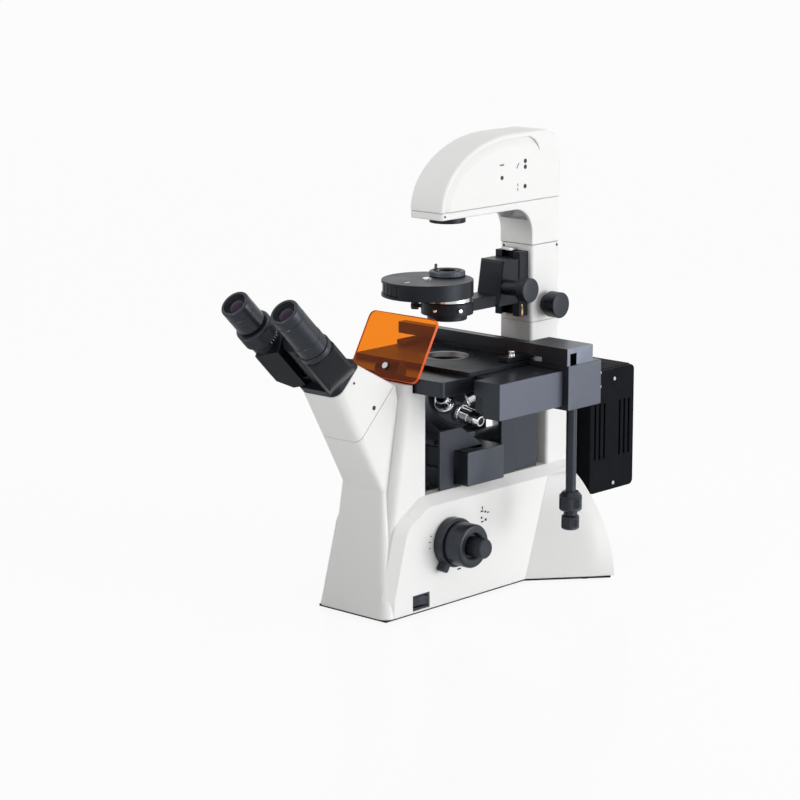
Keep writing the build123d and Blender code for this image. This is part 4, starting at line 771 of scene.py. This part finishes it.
class MICROSCOPE_OT_marks(MicroscopeOperator, bpy.types.Operator):
    """Adds the small plugs and printed marks of the castings"""

    bl_idname = "microscope.marks"
    bl_label = "Marks"

    def execute(self, context):
        ink, dot = 0.08, 2.0    # height of a printed mark, and the power that makes a pad round
        # plugs of the lamp arm as y, z and width
        plugs = [(60.6, 436.4, 4.6), (98.3, 451.0, 4.8), (98.3, 444.8, 4.8), (98.2, 424.3, 4.8)]
        plugs += [(-29.2, 404.6, 2.4), (152.2, 355.6, 3.0)]
        arm_x = 22.5
        parts = [pad(at(arm_x, y, z), Y, Z, (d, d), 0.35, dot) for y, z, d in plugs]
        parts.append(pad(at(-17.0, 111.0, 355.6), X, Z, (3.0, 3.0), 0.35, dot))
        parts.append(pad(at(arm_x, 60.4, 450.0), Y, Z, (7.0, 1.4), ink))
        slash = unit(np.array([0, 0.55, 0.83]))
        parts.append(pad(at(arm_x, 86.0, 447.0), slash, np.cross(X, slash), (7.0, 1.1), ink))
        parts += [pad(at(arm_x, 86.4, z), Y, Z, (1.2, 3.0), ink) for z in (426.6, 421.8)]
        piece("arm_plugs", parts, "black_mark", "lamp_pillar")
        plugs = [(-142.4, 222.6, 4.8), (-171.6, 252.4, 2.8)]
        parts = [pad(at(28.0, y, z), Y, Z, (d, d), 0.3, dot, sink=1.5) for y, z, d in plugs]
        piece("nose_plugs", parts, "black_mark", "stand")
        # marks of the right cheek as y, z, width and thickness, and ticks round the focus shaft
        bars = [(0.6, 96.0, 2.0, 3.4), (0.0, 92.4, 4.6, 1.8), (5.4, 91.0, 3.2, 2.2), (9.6, 89.6, 3.4, 1.6)]
        bars += [(-0.6, 85.4, 2.6, 2.6), (0.6, 81.0, 4.4, 1.6), (6.0, 82.2, 3.4, 2.6)]
        bars += [(-36.0, 37.0, 6.0, 1.8)]
        cheek_x, ink = 50.0, 0.05
        parts = [pad(at(cheek_x, y, z), Y, Z, (w, t), ink) for y, z, w, t in bars]
        for turn in (160, 172, 184):
            out = Y * cos(radians(turn)) + Z * sin(radians(turn))
            place = at(cheek_x, FOCUS_Y, FOCUS_Z) + MM * 31.0 * out
            parts.append(pad(place, out, np.cross(X, out), (3.6, 0.8), ink))
        piece("cheek_marks", parts, "black_mark", "stand")
        return {"FINISHED"}


class MICROSCOPE_OT_shield_edge(MicroscopeOperator, bpy.types.Operator):
    """Adds the bright sawn edge of the orange shield"""

    bl_idname = "microscope.shield_edge"
    bl_label = "Shield edge"

    def execute(self, context):
        lean = radians(30)
        up = np.array([0, sin(lean), cos(lean)])
        normal = np.array([0, -cos(lean), sin(lean)])
        foot = at(0, -96.5, 246.0)
        half_width, half_height, middle, corner, count = 40.0, 28.0, 31.0, 7, 9
        # outline: a quarter round at each corner, in turn
        quarter = np.linspace(0, pi / 2, count)
        turns = (quarter[None, :] + np.arange(4)[:, None] * pi / 2).reshape(-1)
        across = np.repeat(half_width * np.array([1, -1, -1, 1]), count) + corner * np.cos(turns)
        along = np.repeat(half_height * np.array([1, 1, -1, -1]), count) + middle + corner * np.sin(turns)
        points = foot + MM * (across[:, None] * X + along[:, None] * up)
        section = [(-0.15, -0.05), (0.2, -0.05), (0.2, 3.05), (-0.15, 3.05)]
        piece("shield_edge", [band(points, normal, section)], "acrylic_edge", "stand")
        return {"FINISHED"}


class MICROSCOPE_OT_lamp_house_trim(MicroscopeOperator, bpy.types.Operator):
    """Adds the cover screws of the lamp house"""

    bl_idname = "microscope.lamp_house_trim"
    bl_label = "Lamp house trim"

    def execute(self, context):
        places = [(hand, z) for hand in (-1, 1) for z in (86.4, 203.6)]
        parts = [screw(at(hand * 55.0, 214.0, z), hand * X, 2.1, 1.6) for hand, z in places]
        piece("lamp_cover_screws", parts, "chrome", "stand")
        return {"FINISHED"}


def either(nodes, links, first, *others):
    """Yes when any of several yes-or-no outputs says yes: the largest of them."""
    for other in others:
        largest = nodes.new("ShaderNodeMath")
        largest.operation = "MAXIMUM"
        links.new(first, largest.inputs[0])
        links.new(other, largest.inputs[1])
        first = largest.outputs[0]
    return first


def white_floor(reach=40.0, share=0.9):
    """Flat square floor: to the camera and through glass a share of it is plain white and the rest its own
    shading."""
    corners = reach * np.array([[-1, -1, 0], [1, -1, 0], [1, 1, 0], [-1, 1, 0]], float)
    mesh = bpy.data.meshes.new("floor")
    mesh.from_pydata(corners.tolist(), [], [[0, 1, 2, 3]])
    floor = bpy.data.objects.new("floor", mesh)
    bpy.context.scene.collection.objects.link(floor)
    mat, nodes, links, shader = new_finish("studio_floor")
    shader.inputs["Base Color"].default_value = (0.93, 0.93, 0.93, 1)
    shader.inputs["Roughness"].default_value = 0.22
    shader.inputs["Specular IOR Level"].default_value = 0.35
    glow = nodes.new("ShaderNodeEmission")
    glow.inputs["Color"].default_value = (1, 1, 1, 1)
    ray = nodes.new("ShaderNodeLightPath").outputs
    part = nodes.new("ShaderNodeMath")
    part.operation = "MULTIPLY"
    part.inputs[1].default_value = share
    links.new(either(nodes, links, ray["Is Camera Ray"], ray["Is Transmission Ray"]), part.inputs[0])
    mix = nodes.new("ShaderNodeMixShader")
    links.new(part.outputs[0], mix.inputs["Fac"])
    links.new(shader.outputs["BSDF"], mix.inputs[1])
    links.new(glow.outputs["Emission"], mix.inputs[2])
    links.new(mix.outputs["Shader"], nodes["Material Output"].inputs["Surface"])
    mesh.materials.append(mat)


def white_surround(level):
    """Even surround of a level, which is white where it is seen, mirrored or looked at through glass."""
    world = bpy.data.worlds.new("studio")
    bpy.context.scene.world = world
    world.use_nodes = True
    nodes, links = world.node_tree.nodes, world.node_tree.links
    even, white = nodes["Background"], nodes.new("ShaderNodeBackground")
    for ground, strength in ((even, level), (white, 1.0)):
        ground.inputs["Color"].default_value = (1, 1, 1, 1)
        ground.inputs["Strength"].default_value = strength
    ray = nodes.new("ShaderNodeLightPath").outputs
    seen = either(nodes, links, ray["Is Camera Ray"], ray["Is Glossy Ray"], ray["Is Transmission Ray"])
    mix = nodes.new("ShaderNodeMixShader")
    links.new(seen, mix.inputs["Fac"])
    links.new(even.outputs["Background"], mix.inputs[1])
    links.new(white.outputs["Background"], mix.inputs[2])
    links.new(mix.outputs["Shader"], nodes["World Output"].inputs["Surface"])


# Lamps: place, target, width and height, share of the key power, colour and spread in degrees
LAMPS = {
    "side_softbox": ((2.4, 1.1, 0.45), (0, 0, 0.22), (1.6, 1.4), 1.0, (0.99, 0.99, 1.0), 180),
    "front_fill": ((-0.3, -1.7, 1.6), (0, 0, 0.4), (1.2, 1.2), 0.04, (1.0, 1.0, 0.97), 180),
    "top_softbox": ((0.2, 0.2, 1.9), (0, 0, 0.22), (1.2, 1.2), 0.14, (1.0, 1.0, 1.0), 180),
    "foot_fill": ((1.9, 0.2, 0.3), (0.05, 0, 0.02), (0.9, 0.4), 0.010, (1.0, 1.0, 1.0), 50),
    "neck_fill": ((-0.3, -1.7, 0.7), (0, 0.1, 0.4), (0.6, 0.3), 0.0062, (1.0, 1.0, 1.0), 30),
}


def area_light(name, power, place, target, size, share, colour, spread):
    """Soft rectangular lamp that faces a point."""
    data = bpy.data.lights.new(name, "AREA")
    data.shape = "RECTANGLE"
    data.size, data.size_y = size
    data.energy = power * share
    data.color = colour
    data.spread = radians(spread)
    lamp = bpy.data.objects.new(name, data)
    lamp.location = place
    lamp.rotation_euler = (Vector(target) - Vector(place)).to_track_quat("-Z", "Y").to_euler()
    bpy.context.scene.collection.objects.link(lamp)


# Camera at the height and side of the photograph, in metres and degrees
CAMERA_PLACE = (1.9289 + AXIS[0], -2.1554, 0.8172)
CAMERA_ROUND, CAMERA_DOWN = 42.55, 11.9
FOCAL_PIXELS, FRAME_PIXELS, SENSOR = 2815.0, 800.0, 36.0


class MICROSCOPE_OT_stage(MicroscopeOperator, bpy.types.Operator):
    """Sets the floor, the lights and the camera"""

    bl_idname = "microscope.stage"
    bl_label = "Stage"

    def execute(self, context):
        scene = context.scene
        look = scene.microscope_look
        scene.view_settings.view_transform = "Standard"
        white_floor()
        white_surround(look.world_level)
        for name, row in LAMPS.items():
            area_light(name, look.key_power, *row)
        data = bpy.data.cameras.new("camera")
        data.sensor_width = SENSOR
        data.lens = FOCAL_PIXELS / FRAME_PIXELS * SENSOR
        data.clip_end = 50
        camera = bpy.data.objects.new("camera", data)
        camera.location = CAMERA_PLACE
        camera.rotation_euler = (radians(90 - CAMERA_DOWN), 0, radians(CAMERA_ROUND))
        scene.collection.objects.link(camera)
        scene.camera = camera
        return {"FINISHED"}


OPERATORS = (
    MICROSCOPE_OT_finishes,
    MICROSCOPE_OT_castings,
    MICROSCOPE_OT_fittings,
    MICROSCOPE_OT_focus_knobs,
    MICROSCOPE_OT_stage_knobs,
    MICROSCOPE_OT_pillar_knobs,
    MICROSCOPE_OT_objectives,
    MICROSCOPE_OT_eyepieces,
    MICROSCOPE_OT_condenser_trim,
    MICROSCOPE_OT_stage_trim,
    MICROSCOPE_OT_marks,
    MICROSCOPE_OT_shield_edge,
    MICROSCOPE_OT_lamp_house_trim,
    MICROSCOPE_OT_stage,
)


class MICROSCOPE_PT_panel(bpy.types.Panel):
    """Lists the settings and the steps"""

    bl_idname = "MICROSCOPE_PT_panel"
    bl_label = "Microscope"
    bl_space_type = "VIEW_3D"
    bl_region_type = "UI"
    bl_category = "Microscope"

    def draw(self, context):
        look = context.scene.microscope_look
        for name in MicroscopeLook.__annotations__:
            self.layout.prop(look, name)
        for operator in OPERATORS:
            self.layout.operator(operator.bl_idname)


CLASSES = (MicroscopeLook, *OPERATORS, MICROSCOPE_PT_panel)


def register():
    for cls in CLASSES:
        bpy.utils.register_class(cls)
    bpy.types.Scene.microscope_look = bpy.props.PointerProperty(type=MicroscopeLook)


def unregister():
    del bpy.types.Scene.microscope_look
    for cls in reversed(CLASSES):
        bpy.utils.unregister_class(cls)


def main():
    register()
    bpy.ops.microscope.finishes()
    bpy.ops.microscope.castings()
    bpy.ops.microscope.fittings()
    bpy.ops.microscope.focus_knobs()
    bpy.ops.microscope.stage_knobs()
    bpy.ops.microscope.pillar_knobs()
    bpy.ops.microscope.objectives()
    bpy.ops.microscope.eyepieces()
    bpy.ops.microscope.condenser_trim()
    bpy.ops.microscope.stage_trim()
    bpy.ops.microscope.marks()
    bpy.ops.microscope.shield_edge()
    bpy.ops.microscope.lamp_house_trim()
    bpy.ops.microscope.stage()


if __name__ == "__main__":
    main()
